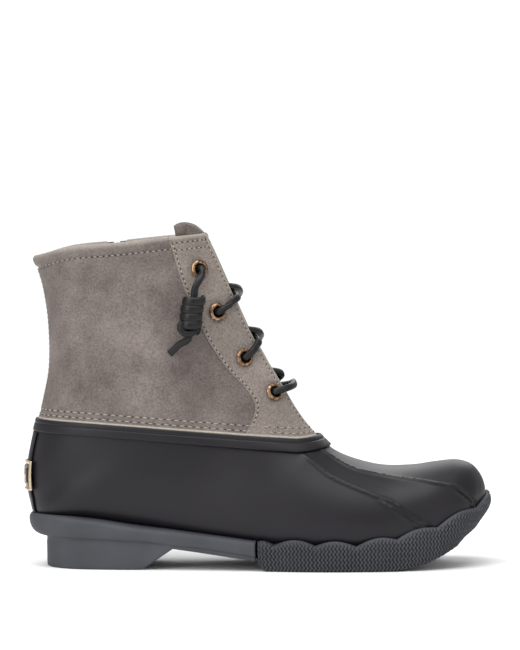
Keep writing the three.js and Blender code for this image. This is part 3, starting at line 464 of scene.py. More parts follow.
TOE_START = 0.35
SHELL_WALL = 3.6
SHELL_LIP = {"height": 12, "out": -2.3}
ZIP_NOTCH = {"middle": 4.3, "half_width": 14.2, "height": 1.2}
band_top = side_line([[-44, 88.6], [0, 86.6], [50, 82.7], [106, 78], [122, 77], [142, 79.5]])
RIB_POINTS = 160
RIBS = [
    {"height": 1.1, "forks_at": 166, "line": [
        (122.1, 69), (128.8, 62.8), (138, 55.6), (151.5, 49.4), (167, 43.2), (178.4, 37), (190.8, 28.7),
        (198, 25)]},
    {"height": 1.2, "forks_at": 208, "line": [
        (132.4, 71.6), (141.2, 64.9), (153.6, 58.7), (172.2, 54.6), (196, 51.5), (211.4, 48.4), (219.7, 43.2),
        (225.9, 37)]},
]


def on_level(turn, line, lowest=FOREFOOT):
    """The station where a section's turn reaches a line, for lines above the foot."""
    turn = np.asarray(turn, float)

    def above(t):
        p = form_point(t, turn)
        return p[..., 2] - line(p[..., 0])

    return solve(above, np.full(turn.shape, float(lowest)), np.full(turn.shape, float(LAST)))


def side_turn(t, line):
    """The turn, on the outer side, where a station's section reaches a line seen from the side."""
    t = np.asarray(t, float)

    def above(turn):
        p = form_point(t, turn)
        return p[..., 2] - line(p[..., 0])

    return solve(above, np.zeros(t.shape), np.full(t.shape, 0.5))


def nearest(points, line):
    """How far each point is from a line, and which of the line's points is nearest."""
    found = [np.linalg.norm(chunk[:, None] - line[None], axis=2) for chunk in np.array_split(points, 40)]
    return np.concatenate([f.min(1) for f in found]), np.concatenate([f.argmin(1) for f in found])


def on_foot(side, x, z):
    """A place over the forefoot, from its x and its height, found station by station."""
    def turn_at_height(t):
        turn = solve(lambda u: form_point(t, u)[..., 2] - z, np.zeros(t.shape), np.full(t.shape, 0.5))
        return turn if SIDES[side] < 0 else 1 - turn

    x, z = np.broadcast_arrays(np.asarray(x, float), np.asarray(z, float))
    low, high = np.full(x.shape, 0.5), np.full(x.shape, 12.0)
    t = solve(lambda t: x - form_point(t, turn_at_height(t))[..., 0], low, high)
    return t, turn_at_height(t)


SHELL_ROWS, SHELL_ROUND = 150, 300
round_turns = np.linspace(0, 1, SHELL_ROUND, endpoint=False)
top_stations = on_level(round_turns, band_top)
share = np.linspace(0, 1, SHELL_ROWS)[:, None]
shell_t = TOE_START + (top_stations[None] - TOE_START) * share
shell_turn = np.repeat(round_turns[None], SHELL_ROWS, 0)
outer = lift(shell_t, shell_turn, np.zeros(shell_t.shape))
raised = np.zeros(shell_t.shape)
for side in SIDES:
    for rib in RIBS:
        drawn = smooth_line(rib["line"], RIB_POINTS)
        rib_line = lift(*on_foot(side, drawn[:, 0], drawn[:, 1]), np.zeros(RIB_POINTS))
        away, which = (found.reshape(raised.shape) for found in nearest(outer.reshape(-1, 3), rib_line))
        fade = np.clip(which / 14, 0, 1) * np.clip((RIB_POINTS - 1 - which) / 8, 0, 1)
        ridge, skirt = np.exp(-(away / 0.8) ** 2), np.exp(-away / 4.5)
        past_fork = np.clip((drawn[which, 0] - rib["forks_at"]) / 8, 0, 1)
        forked = 1.2 * np.exp(-((away - 1.7) / 0.75) ** 2) + 0.45 * skirt - 0.6 * ridge
        profile = (ridge + 0.75 * skirt) * (1 - past_fork) + forked * past_fork
        raised = np.maximum(raised, rib["height"] * fade * profile)
outer = lift(shell_t, shell_turn, raised)
inner = lift(shell_t[::4], shell_turn[::4], np.full(shell_t[::4].shape, -SHELL_WALL))
# The lip is notched for the zip, so that the slider can come right down.
top_x = form_point(top_stations, round_turns)[:, 0]
at_zip = (round_turns > 0.5) & (np.abs(top_x - ZIP_NOTCH["middle"] * lengthwise) < ZIP_NOTCH["half_width"])
lip_heights = np.where(at_zip, ZIP_NOTCH["height"], SHELL_LIP["height"])
lip_t = on_level(round_turns, lambda x: band_top(x) + lip_heights)
lip = [lift(t, round_turns, np.full(SHELL_ROUND, out)) for t, out in (
    (top_stations, SHELL_LIP["out"]), (lip_t, SHELL_LIP["out"]), (lip_t, -SHELL_WALL))]
rings = np.concatenate([outer, lip, inner[::-1]])
points = rings.reshape(-1, 3)
faces = grid_faces(len(rings), SHELL_ROUND, closed=True)
caps = [outer[0].mean(0), inner[0].mean(0)]
first, last = len(points), (len(rings) - 1) * SHELL_ROUND
faces += [[first, j, (j + 1) % SHELL_ROUND] for j in range(SHELL_ROUND)]
faces += [[first + 1, last + (j + 1) % SHELL_ROUND, last + j] for j in range(SHELL_ROUND)]
shell = make_piece("galosh", np.concatenate([points, caps]), faces, black_rubber)
fitted(shell, "rubber_shell")

# ==== top band
# The foxing band: an extruded strip of rubber cemented round the shell's top edge, with one fine groove
# along it. It covers the edge of the moulding and takes the knocks.

BAND_HEIGHT, BAND_ROUND = 7.6, 420
BAND_PROFILE = [  # how far down from the edge and how far out, with the groove at 2.45 to 2.75
    (0.0, 0.35), (0.0, 1.3), (0.25, 1.65), (0.7, 1.75), (1.7, 1.75), (2.2, 1.7), (2.45, 1.3), (2.75, 1.3),
    (3.0, 1.7), (3.5, 1.75), (5.4, 1.8), (6.7, 1.8), (7.25, 1.7), (7.55, 1.35), (BAND_HEIGHT, 0.35),
]
band_turns = np.linspace(0, 1, BAND_ROUND, endpoint=False)
rings = [lift(on_level(band_turns, lambda x: band_top(x) - drop), band_turns, np.full(BAND_ROUND, out))
         for drop, out in BAND_PROFILE]
rings = np.array([*rings, rings[0]])
faces = grid_faces(len(rings), BAND_ROUND, closed=True)
fitted(make_piece("foxing_band", rings.reshape(-1, 3), faces, black_rubber), "shell_top_band")

# ==== heel strip
# A strip of the same rubber up the middle of the heel. It is cemented over the moulding's parting line,
# and its edges are rounded off.

STRIP = {"width": 22, "inner": 0.3, "outer": 1.4}
feather = side_line([[-44, 32.4], [-19, 32], [1, 30.3], [22, 27.2], [43, 24.8], [61, 22.7], [94, 18.5]])


def on_back(y, z):
    """A place at the back of the heel, from its y and height."""
    y, z = np.broadcast_arrays(np.asarray(y, float), np.asarray(z, float))
    low, high = np.full(y.shape, 13.0), np.full(y.shape, float(LAST))

    def station(turn):
        return solve(lambda t: form_point(t, turn)[..., 2] - z, low, high)

    first, last = np.full(y.shape, -0.2), np.full(y.shape, 0.2)
    turn = solve(lambda u: y - form_point(station(u), u)[..., 1], first, last)
    return station(turn), turn


def fractions(length, step, edge=(0, 0.08, 0.25, 0.5, 0.85, 1.3)):
    """Shares of a length, close together at both ends, where an edge is rounded."""
    ends = np.array(edge) / length
    middle = np.linspace(ends[-1], 1 - ends[-1], max(int(length / step), 3))[1:-1]
    return np.concatenate([ends, middle, 1 - ends[::-1]])


def edge_distance(points):
    """How far each point of a grid is from the grid's border, along its rows and columns: four values."""
    down = np.linalg.norm(np.diff(points, axis=0), axis=2)
    along = np.linalg.norm(np.diff(points, axis=1), axis=2)
    from_first = np.concatenate([np.zeros((1, points.shape[1])), np.cumsum(down, 0)])
    from_left = np.concatenate([np.zeros((points.shape[0], 1)), np.cumsum(along, 1)], axis=1)
    return from_first, from_first[-1:] - from_first, from_left, from_left[:, -1:] - from_left


def rounded(distance, radius):
    """How much a face sinks near a rounded edge."""
    inside = np.clip(1 - distance / radius, 0, 1)
    return radius * (1 - np.sqrt(1 - inside**2))


def hole_mask(points, holes):
    """Which of a grid's faces lie inside round holes, each an axis point, a direction and a radius."""
    rows, columns = points.shape[:2]
    inside = np.zeros((rows, columns), bool)
    for centre, axis, radius in holes:
        offset = points - centre
        along = (offset * axis).sum(-1, keepdims=True)
        inside |= (np.linalg.norm(offset - along * axis, axis=-1) < radius) & (np.abs(along[..., 0]) < 9)
    return inside[:-1, :-1] & inside[1:, :-1] & inside[:-1, 1:] & inside[1:, 1:]


def two_walls(rows, columns, cut):
    """The faces of a sheet's outer and inner walls, joined round its border and round its holes."""
    count = rows * columns
    kept = np.pad(~cut, 1)
    faces = []
    for i, j in np.argwhere(kept[1:-1, 1:-1]).tolist():
        a, b, c, d = i * columns + j, i * columns + j + 1, (i + 1) * columns + j + 1, (i + 1) * columns + j
        faces += [[a, b, c, d], [d + count, c + count, b + count, a + count]]
        neighbours = kept[i, j + 1], kept[i + 1, j + 2], kept[i + 2, j + 1], kept[i + 1, j]
        for start, end, beyond in zip((a, b, c, d), (b, c, d, a), neighbours):
            if not beyond:
                faces.append([start, start + count, end + count, end])
    return faces


def slab(name, t, turn, outer, inner, material, raised=None, square=(), attributes=None, holes=()):
    """A sheet over a grid of places on the last, from one distance out of it to another, with rounded edges.
    Square names the edges (0 low, 1 high, 2 first, 3 last column) that are cut off square instead."""
    flat = lift(t, turn, outer + np.zeros(t.shape))
    radius = (outer - inner) / 2
    sink = np.zeros(t.shape)
    for k, distance in enumerate(edge_distance(flat)):
        sink = np.maximum(sink, rounded(distance, radius * (0.3 if k in square else 1)))
    top = lift(t, turn, outer - sink + (0 if raised is None else raised))
    low = lift(t, turn, inner + sink)
    return both_walls(name, top, low, material, attributes, holes)


def both_walls(name, outer, inner, material, attributes, holes):
    """The piece between an outer and an inner wall of the same grid, less its holes."""
    faces = two_walls(*outer.shape[:2], hole_mask(outer, holes))
    doubled = {key: np.concatenate([v.ravel(), v.ravel()]) for key, v in (attributes or {}).items()}
    points = np.concatenate([outer.reshape(-1, 3), inner.reshape(-1, 3)])
    return make_piece(name, points, faces, material, doubled)


strip_y = (fractions(STRIP["width"], 1.0) - 0.5) * STRIP["width"]
strip_share = fractions(45, 1.2)
HEEL_X = -38  # the back of the heel, where the strip's ends are measured
strip_low, strip_high = feather(HEEL_X) + 0.4, band_top(HEEL_X) - BAND_HEIGHT - 0.5
zs, ys = np.meshgrid(strip_low + (strip_high - strip_low) * strip_share, strip_y, indexing="ij")
strip = slab("heel_seam_strip", *on_back(ys, zs), STRIP["outer"], STRIP["inner"], black_rubber)
fitted(strip, "heel_strip")

# ==== heel badge
# A small plate of plated zinc, die cast with a raised rim, bent to the heel and cemented to the strip.
# The field is filled with dark enamel, and the emblem on it is a plain four-pointed star between two
# bars.

BADGE = {"width": 28, "low": 46, "high": 63, "inner": 1.7, "outer": 2.2, "rim": 1.5, "relief": 0.75}
STAR = {"across": 6.6, "up": 6.0, "power": 0.62}
BARS = {"at": 9.2, "half_width": 0.75, "half_height": 4.6}

# Plated zinc: pale gold, polished on what stands proud and dull in the corners, where polish collects.
pale_gold, tree, shader, place = new_material("pale_gold_plating", Metallic=1.0, Roughness=0.3)
wear = add(tree, "ShaderNodeTexNoise", Vector=place, Scale=700.0, Detail=4.0)
tone = add(tree, "ShaderNodeValToRGB", {"stops": [(0, "B79C74"), (1, "EBDCC0")]}, Fac=wear)
gloss = add(tree, "ShaderNodeMapRange", Value=wear, From_Min=0.3, From_Max=0.7, To_Min=0.42, To_Max=0.22)
feed(tree, shader, Base_Color=tone, Roughness=gloss)

# Cold enamel: brown-black, poured and left glossy, with a few specks.
enamel, tree, shader, place = new_material("dark_enamel", Roughness=0.25, IOR=1.5)
specks = add(tree, "ShaderNodeTexNoise", Vector=place, Scale=1800.0, Detail=2.0)
tone = add(tree, "ShaderNodeValToRGB", {"stops": [(0, "1A120E"), (1, "2B1F18")]}, Fac=specks)
feed(tree, shader, Base_Color=tone)

badge_high, badge_wide = BADGE["high"] - BADGE["low"], BADGE["width"]
badge_middle = (BADGE["low"] + BADGE["high"]) / 2


def star_share(across, up):
    """Less than one inside the star, whose sides curve in between its four points."""
    return (across / STAR["across"]) ** STAR["power"] + (up / STAR["up"]) ** STAR["power"]


zs, ys = np.meshgrid(BADGE["low"] + fractions(badge_high, 0.28) * badge_high,
                     (fractions(badge_wide, 0.28) - 0.5) * badge_wide, indexing="ij")
dy, dz = np.abs(ys), np.abs(zs - badge_middle)
rim = np.clip((BADGE["rim"] - np.minimum(badge_wide / 2 - dy, badge_high / 2 - dz)) / 0.35, 0, 1)
star = np.clip((1 - star_share(dy, dz)) / 0.12, 0, 1)
bars = (np.clip((BARS["half_width"] - np.abs(dy - BARS["at"])) / 0.3, 0, 1)
        * np.clip((BARS["half_height"] - dz) / 0.4, 0, 1))
relief = BADGE["relief"] * np.maximum(rim, np.maximum(star * (1.15 - dy / 12), bars))
badge = slab("heel_plate", *on_back(ys, zs), BADGE["outer"], BADGE["inner"], pale_gold, raised=relief,
             square=(0, 1, 2, 3))
badge.data.materials.append(enamel)
for polygon in badge.data.polygons:
    across, up = abs(polygon.center.y * 1000), abs(polygon.center.z * 1000 - badge_middle)
    in_rim = min(badge_wide / 2 - across, badge_high / 2 - up) < BADGE["rim"] + 0.1
    in_bar = abs(across - BARS["at"]) < BARS["half_width"] + 0.2 and up < BARS["half_height"] + 0.2
    polygon.material_index = 0 if in_rim or in_bar or star_share(across, up) < 1 else 1
fitted(badge, "heel_badge")

# ==== outsole
# The sole's rear half: a cup round the heel, a stacked heel and the waist, moulded in one piece of grey
# rubber and cemented to the shell. A steel shank is buried in the waist.

# Moulded grey rubber: matt and chalky from a blasted mould, a cool grey that varies a little at random. The
# sipes' floors are darkened with painted shade, most where they are cut deepest; the ridges keep the plain
# grey.
grey_rubber, tree, shader, place = new_material("moulded_grey_rubber", Roughness=0.68, IOR=1.5)
cloud = add(tree, "ShaderNodeTexNoise", Vector=place, Scale=35.0, Detail=5.0)
tone = add(tree, "ShaderNodeValToRGB", {"stops": [(0.3, "303237"), (0.7, "3E4046")]}, Fac=cloud)
blast = add(tree, "ShaderNodeTexNoise", Vector=place, Scale=2200.0, Detail=3.0)
bump = add(tree, "ShaderNodeBump", Height=blast, Strength=0.3, Distance=0.0001)
# Painted shade in the sipes: the grey is darkened by the groove depth that the sipes tree stores.
sipe_shade_share = add(tree, "ShaderNodeAttribute", {"attribute_name": "painted_sipe_shade"}).outputs["Fac"]
shade = add(tree, "ShaderNodeMix", {"data_type": "RGBA", "blend_type": "MULTIPLY"}, Factor=sipe_shade_share, _6=tone,
            _7=linear("5C5C62"))
feed(tree, shader, Base_Color=shade.outputs[2], Normal=bump)

underside = side_line([
    [-60, 0], [27, 0], [45, 12.8], [94.8, 5.7], [100, 0], [178, 0], [196, 3.7], [206.5, 8.4], [215, 13.2],
    [219.5, 18], [226.5, 22.8], [231, 27.6], [234, 32.4], [237, 38],
], smooth=False)
sole_plan = np.array([
    [-37.5, 0], [-33, -18.5], [-18, -30], [10, -34.5], [50, -37], [94, -42], [130, -46.5], [160, -45.5],
    [188, -40.5],
    [212, -29], [227.5, -12], [231.5, 8], [227.5, 24], [212, 36.5], [188, 43.5], [160, 45.5], [130, 42.5],
    [94, 36], [50, 30.5], [10, 31.5], [-18, 28.5], [-33, 18],
])
heel_plan = np.array([
    [-31, 0], [-27, -16.5], [-13, -28], [10, -32], [30, -32.5], [60, -33.5], [60, 28], [30, 28.5], [10, 29.5],
    [-13, 26.5], [-27, 16],
])


def closed_line(points, count=900):
    """A smooth closed outline through points."""
    around = np.concatenate([points[-2:], points, points[:3]]) * [lengthwise, crosswise]
    drawn = smooth_line(around, count * (len(around) - 1) // len(points))
    spans = len(around) - 1
    where = np.linspace(0, spans, len(drawn))
    return drawn[(where >= 2) & (where < 2 + len(points))]


sole_edge, heel_edge = closed_line(sole_plan), closed_line(heel_plan)


def snapped(points, outline):
    """The nearest points of an outline in plan."""
    return outline[nearest(points[:, :2], outline)[1]]


def level_outs(t, turn):
    """Directions out of the last, laid level."""
    out = form_normal(t, turn) * [1, 1, 0]
    return unit(out)


def quarter_circle(steps):
    """Angles up to a right angle, for a rounded stretch of a section."""
    return [k / steps * math.pi / 2 for k in range(1, steps + 1)]


def moulding_floor(turn, t, middle_t, steps):
    """Rows that run in from the sole's seat to the middle line under the foot, the last one first."""
    rows = []
    for share in (k / steps for k in range(1, steps + 1)):
        inner_turn = np.where(turn <= 0.5, turn * (1 - share), 1 - (1 - turn) * (1 - share))
        rows.append(lift(t + (middle_t - t) * share, inner_turn, np.full(t.shape, SEAT_OUT)))
    return np.array(rows)[::-1]


SEAT_OUT = 0.35  # the cement's thickness
WRAP_START = 94
WAIST_END = WRAP_START + 1.2
HEEL_TURN = -8  # the sole's outline starts to curve round the heel here
CUP_COLUMNS, CURVE_COLUMNS = 110, 50
RIM = {"least": 3.3, "proud": 0.2, "drop": 3.4, "inset": 1.6, "smoothed_over": 9}
HEEL = {"taper": 0.35, "crease": 0.25, "edge": 1.1, "ends_at": 40, "fades_over": 18}
HEEL_GROOVE = {"pitch": 6.5, "depth": 1.2, "front": 25, "margin": 0.18}
RIM_ROWS, CUP_ROWS, WALL_ROWS, FOOT_ROWS, UNDER_ROWS = 8, 14, 8, 4, 14
heel_stations = np.linspace(9.2, 14.6, 500)
heel_turns = side_turn(heel_stations, feather)
keep = heel_turns > 1e-4
heel_stations, heel_turns = heel_stations[keep], heel_turns[keep]
line_x = form_point(heel_stations, heel_turns)[:, 0]
straight = np.linspace(WAIST_END, HEEL_TURN, CUP_COLUMNS)
curved = HEEL_TURN + (line_x.min() - HEEL_TURN) * np.sin(np.linspace(0, math.pi / 2, CURVE_COLUMNS))[1:]
cup_x = np.concatenate([straight, curved])
cup_t = np.interp(-cup_x, -line_x, heel_stations)
cup_turn = side_turn(cup_t, feather)
cup_turn[-1] = 0
t = np.concatenate([cup_t, cup_t[::-1][1:]])
turn = np.concatenate([cup_turn, 1 - cup_turn[::-1][1:]])
seat = lift(t, turn, np.full(t.shape, SEAT_OUT))
flat_out = level_outs(t, turn)
plan = snapped(seat, sole_edge)
reach = np.maximum(RIM["least"], ((plan - seat[:, :2]) * flat_out[:, :2]).sum(1) + RIM["proud"])
size = RIM["smoothed_over"]
long_reach = np.concatenate([np.full(size, reach[0]), reach, np.full(size, reach[-1])])
reach = np.convolve(long_reach, np.ones(2 * size + 1) / (2 * size + 1), "valid")
rim_xy = seat[:, :2] + flat_out[:, :2] * reach[:, None]
rim_z = seat[:, 2] - RIM["drop"]
crease_line = side_line([[-50, 18.9], [0, 18], [29, 16.5], [44, 15], [60, 13.4], [94, 8.6]])
crease_z = crease_line(rim_xy[:, 0])
heel_point = snapped(np.column_stack([rim_xy, crease_z]), heel_edge)
waist_share = np.clip((rim_xy[:, 0] - HEEL["ends_at"]) / HEEL["fades_over"], 0, 1)[:, None]
foot_xy = heel_point * (1 - waist_share) + (rim_xy - flat_out[:, :2] * RIM["inset"]) * waist_share
low_z = underside(foot_xy[:, 0])
toward = -flat_out[:, :2]
mirrored = np.concatenate([cup_x, cup_x[::-1][1:]])
spine_x = np.maximum(mirrored, HEEL_TURN + (mirrored - HEEL_TURN) * 0.4)
spine = np.column_stack([spine_x, np.zeros(len(t))])

rows = [seat]
for angle in quarter_circle(RIM_ROWS):  # the rim swells out from under the shell
    xy = seat[:, :2] + (rim_xy - seat[:, :2]) * (math.sin(angle) ** 0.8)
    rows.append(np.column_stack([xy, seat[:, 2] - (seat[:, 2] - rim_z) * (1 - math.cos(angle))]))
for angle in quarter_circle(CUP_ROWS):  # the cup curves in to the crease
    xy = foot_xy + (rim_xy - foot_xy) * math.cos(angle) ** 0.75
    rows.append(np.column_stack([xy, rim_z + (crease_z - rim_z) * math.sin(angle)]))
for k in range(1, WALL_ROWS + 1):  # the heel's side goes straight down, with a slight taper
    share = k / WALL_ROWS
    xy = foot_xy + toward * (HEEL["taper"] * share + HEEL["crease"] * (k == 1))
    rows.append(np.column_stack([xy, crease_z + (low_z + HEEL["edge"] - crease_z) * share]))
for angle in quarter_circle(FOOT_ROWS):  # rounded bottom edge
    xy = foot_xy + toward * (HEEL["taper"] + HEEL["edge"] * (1 - math.cos(angle)))
    rows.append(np.column_stack([xy, low_z + HEEL["edge"] * (1 - math.sin(angle))]))
for share in (k / UNDER_ROWS for k in range(1, UNDER_ROWS + 1)):  # the tread under the heel, in wavy grooves
    xy = (foot_xy + toward * (HEEL["taper"] + HEEL["edge"])) * (1 - share) + spine * share
    on_heel = (xy[:, 0] < HEEL_GROOVE["front"]) & (share > HEEL_GROOVE["margin"])
    wave = np.cos(2 * math.pi * (xy[:, 0] + 1.2 * np.sin(xy[:, 1] * 0.9)) / HEEL_GROOVE["pitch"])
    groove = np.where(on_heel, HEEL_GROOVE["depth"] * np.clip(wave * 3 - 1.6, 0, 1), 0)
    rows.append(np.column_stack([xy, underside(xy[:, 0]) + groove]))
middle_line = np.linspace(9, 14.4, 200)
spine_t = np.interp(-spine_x, -form_point(middle_line, 0.0)[:, 0], middle_line)
rings = np.concatenate([moulding_floor(turn, t, spine_t, 8), np.array(rows)])

def open_loft(name, rings, material, attributes=None):
    """A piece from rows that run from one open end to the other. Its two ends are closed flat."""
    piece = make_piece(name, rings.reshape(-1, 3), grid_faces(*rings.shape[:2]), material, attributes)
    work = bmesh.new()
    work.from_mesh(piece.data)
    bmesh.ops.holes_fill(work, edges=[e for e in work.edges if e.is_boundary])
    bmesh.ops.triangulate(work, faces=[f for f in work.faces if len(f.verts) > 4])
    bmesh.ops.recalc_face_normals(work, faces=work.faces)
    work.to_mesh(piece.data)
    work.free()
    piece.data.polygons.foreach_set("use_smooth", [True] * len(piece.data.polygons))
    return piece


outsole = open_loft("heel_and_waist", rings, grey_rubber)
fitted(outsole, "outsole")

# ==== forefoot tread
# The sole's front half, moulded in the same grey rubber. Its wrap climbs the shell in scallops and is cut
# all over with wavy upright sipes, which bend open on a wet deck.

SCALLOP = {"pitch": 24, "depth": 3.2, "start": 8, "start_drop": 4.2}
WRAP = {"least": 3.4, "proud": 0.7, "inset": 0.4, "widest_at": 0.62, "edge": 1.6, "joint": 0.25}
TOP_ROWS, SIDE_ROWS, EDGE_ROWS, TREAD_ROWS, FLOOR_ROWS = 9, 30, 6, 14, 6
WRAP_COLUMNS = 560
SMOOTHED_OVER = 12
wrap_top = side_line([
    [94, 18], [127, 17.5], [152, 17], [175, 20.3], [197, 25.6], [217, 33.4], [230, 40], [240, 46]])


def scalloped(x):
    """The height of the wrap's upper edge."""
    phase = (x - WRAP_START * lengthwise) / (SCALLOP["pitch"] * lengthwise) * math.pi
    near = np.clip(1 - (x / lengthwise - WRAP_START) / SCALLOP["start"], 0, 1)
    rounding = SCALLOP["start_drop"] * (1 - np.sqrt(1 - near**2))
    return wrap_top(x) + SCALLOP["depth"] * (np.abs(np.cos(phase)) - 0.5) - rounding


def eased(values):
    """The same values with their quick changes along the sole smoothed out."""
    reach = SMOOTHED_OVER
    longer = np.concatenate([np.repeat(values[:1], reach, 0), values, np.repeat(values[-1:], reach, 0)])
    kernel = np.ones(2 * reach + 1) / (2 * reach + 1)
    return np.stack([np.convolve(longer[:, k], kernel, "valid") for k in range(values.shape[1])], axis=1)


def run_length(points):
    """How far along a line each of its points lies."""
    return np.concatenate([[0], np.cumsum(np.linalg.norm(np.diff(points, axis=0), axis=1))])


wrap_stations = np.linspace(0.36, 10.6, 2400)
wrap_turns = side_turn(wrap_stations, scalloped)
tip = np.argmax((wrap_turns > 1e-4) & (wrap_turns < 0.4999))
halves = []
for side in SIDES:
    ts, us = wrap_stations[tip:], wrap_turns[tip:]
    us = us if SIDES[side] < 0 else 1 - us
    p = form_point(ts, us)
    ahead = p[:, 0] > WRAP_START + WRAP["joint"]
    along = run_length(p[ahead])
    wanted = np.linspace(0, along[-1], WRAP_COLUMNS)
    halves.append((np.interp(wanted, along, ts[ahead]), np.interp(wanted, along, us[ahead])))
(t1, u1), (t2, u2) = halves
t = np.concatenate([t1[::-1], t2[1:]])
turn = np.concatenate([u1[::-1], u2[1:]])
turn[WRAP_COLUMNS - 1] = 0.5
seat = lift(t, turn, np.full(t.shape, SEAT_OUT))
flat_out = unit(eased(level_outs(t, turn)))
base = eased(seat)
plan = eased(snapped(base, sole_edge))
reach = np.maximum(WRAP["least"], ((plan - base[:, :2]) * flat_out[:, :2]).sum(1) + WRAP["proud"])
bulge_xy = base[:, :2] + flat_out[:, :2] * eased(reach[:, None])
low_xy = plan - flat_out[:, :2] * WRAP["inset"]
low_z = underside(low_xy[:, 0])
bulge_z = low_z + (base[:, 2] - low_z) * WRAP["widest_at"]
along = run_length(bulge_xy)
fade = np.clip(np.minimum(along, along[-1] - along) / 3.0, 0, 1) ** 0.5
bulge_xy = low_xy + (bulge_xy - low_xy) * fade[:, None]

rows = [seat]
for angle in quarter_circle(TOP_ROWS):  # the wrap's top edge rolls over
    xy = seat[:, :2] + (bulge_xy - seat[:, :2]) * math.sin(angle) ** 0.85
    z = seat[:, 2] + (bulge_z - seat[:, 2]) * (1 - math.cos(angle)) ** 0.9 * 0.55
    rows.append(np.column_stack([xy, z]))
roll_z = rows[-1][:, 2]
for share in (k / SIDE_ROWS for k in range(1, SIDE_ROWS + 1)):  # its face goes down and in
    xy = bulge_xy + (low_xy - bulge_xy) * share**2
    rows.append(np.column_stack([xy, roll_z + (low_z + WRAP["edge"] - roll_z) * share]))
for angle in quarter_circle(EDGE_ROWS):  # rounded bottom edge
    xy = low_xy - flat_out[:, :2] * WRAP["edge"] * (1 - math.cos(angle))
    rows.append(np.column_stack([xy, low_z + WRAP["edge"] * (1 - math.sin(angle))]))
fold = np.abs(np.linspace(-1, 1, len(t)))
TIP_X = 206
spine_x = TIP_X + (WRAP_START + WRAP["joint"] - TIP_X) * fold
spine = np.column_stack([spine_x, 2 * (1 - fold)])
edge_xy = rows[-1][:, :2]
for share in (k / TREAD_ROWS for k in range(1, TREAD_ROWS + 1)):
    xy = edge_xy * (1 - share) + spine * share
    rows.append(np.column_stack([xy, np.maximum(underside(xy[:, 0]), 0)]))
row = np.arange(len(rows))
cut = np.clip((row - 1.5) / 4, 0, 1) * np.clip((TOP_ROWS + SIDE_ROWS + EDGE_ROWS + 0.5 - row) / 2, 0, 1)
floor_rows = moulding_floor(turn, t, TOE_START + (10.0 - TOE_START) * fold, FLOOR_ROWS)
rings = np.concatenate([floor_rows, np.array(rows)])
cuts = np.concatenate([np.zeros((FLOOR_ROWS, len(t))), np.repeat(cut[:, None], len(t), 1)])
alongs = np.repeat(along[None], len(rings), 0)
tread = open_loft("siped_forefoot", rings, grey_rubber, {"cut": cuts, "along": alongs})

def new_tree(name, inputs):
    """A Geometry Nodes tree with named inputs, and what brings them into it."""
    tree = bpy.data.node_groups.new(name, "GeometryNodeTree")
    tree.interface.new_socket("Geometry", in_out="OUTPUT", socket_type="NodeSocketGeometry")
    tree.interface.new_socket("Geometry", in_out="INPUT", socket_type="NodeSocketGeometry")
    for label, value in inputs.items():
        kind = "NodeSocketMaterial" if isinstance(value, bpy.types.Material) else "NodeSocketFloat"
        tree.interface.new_socket(label, in_out="INPUT", socket_type=kind).default_value = value
    return tree, add(tree, "NodeGroupInput").outputs


def grown(piece, tree, values):
    """Runs a Geometry Nodes tree on a piece, and keeps the result as the piece's own plain mesh."""
    modifier = piece.modifiers.new("grown", "NODES")
    modifier.node_group = tree
    for item in tree.interface.items_tree:
        if item.item_type == "SOCKET" and item.in_out == "INPUT" and item.name in values:
            modifier[item.identifier] = values[item.name]
    evaluated = piece.evaluated_get(bpy.context.evaluated_depsgraph_get())
    mesh = bpy.data.meshes.new_from_object(evaluated)
    piece.modifiers.remove(modifier)
    piece.data = mesh
    mesh.name = piece.name
    return piece


# The sipes push the wrap's face in along wavy upright lines: a wave along the sole, whose phase swings
# with the height. Lengths are in millimetres along the sole and in metres otherwise.
SIPES = {"Pitch": 2.3, "Swing": 0.62, "Swing height": 0.0033, "Depth": 0.00105, "Material": grey_rubber}
MATHS = "ShaderNodeMath"
sipes, given = new_tree("sipes", SIPES)
where = add(sipes, "GeometryNodeInputPosition")
height = add(sipes, "ShaderNodeSeparateXYZ", Vector=where).outputs["Z"]
level = add(sipes, MATHS, {"operation": "DIVIDE"}, _0=height, _1=given["Swing height"])
level = add(sipes, MATHS, {"operation": "MULTIPLY"}, _0=level, _1=2 * math.pi)
swing = add(sipes, MATHS, {"operation": "SINE"}, _0=level)
swing = add(sipes, MATHS, {"operation": "MULTIPLY"}, _0=swing, _1=given["Swing"])
run = add(sipes, "GeometryNodeInputNamedAttribute", {"data_type": "FLOAT"}, Name="along").outputs["Attribute"]
phase = add(sipes, MATHS, {"operation": "ADD"}, _0=run, _1=swing)
phase = add(sipes, MATHS, {"operation": "DIVIDE"}, _0=phase, _1=given["Pitch"])
phase = add(sipes, MATHS, {"operation": "MULTIPLY"}, _0=phase, _1=2 * math.pi)
groove = add(sipes, MATHS, {"operation": "COSINE"}, _0=phase)
groove = add(sipes, MATHS, {"operation": "MULTIPLY_ADD"}, _0=groove, _1=0.5, _2=0.5)
groove = add(sipes, MATHS, {"operation": "POWER"}, _0=groove, _1=1.6)
share = add(sipes, "GeometryNodeInputNamedAttribute", {"data_type": "FLOAT"}, Name="cut").outputs["Attribute"]
groove = add(sipes, MATHS, {"operation": "MULTIPLY"}, _0=groove, _1=share)
inwards = add(sipes, MATHS, {"operation": "MULTIPLY"}, _0=given["Depth"], _1=-1.0)
push = add(sipes, MATHS, {"operation": "MULTIPLY"}, _0=groove, _1=inwards)
face_normal = add(sipes, "GeometryNodeInputNormal")
offset = add(sipes, "ShaderNodeVectorMath", {"operation": "SCALE"}, Vector=face_normal, Scale=push)
moved = add(sipes, "GeometryNodeSetPosition", Geometry=given["Geometry"], Offset=offset)
# The groove's depth is also stored on the points, and the grey rubber paints shade into the sipes by it.
marked = add(sipes, "GeometryNodeStoreNamedAttribute", {"data_type": "FLOAT", "domain": "POINT"},
             Geometry=moved, Name="painted_sipe_shade", Value=groove)
real = add(sipes, "GeometryNodeRealizeInstances", Geometry=marked)
painted = add(sipes, "GeometryNodeSetMaterial", Geometry=real, Material=given["Material"])
add(sipes, "NodeGroupOutput", Geometry=painted)
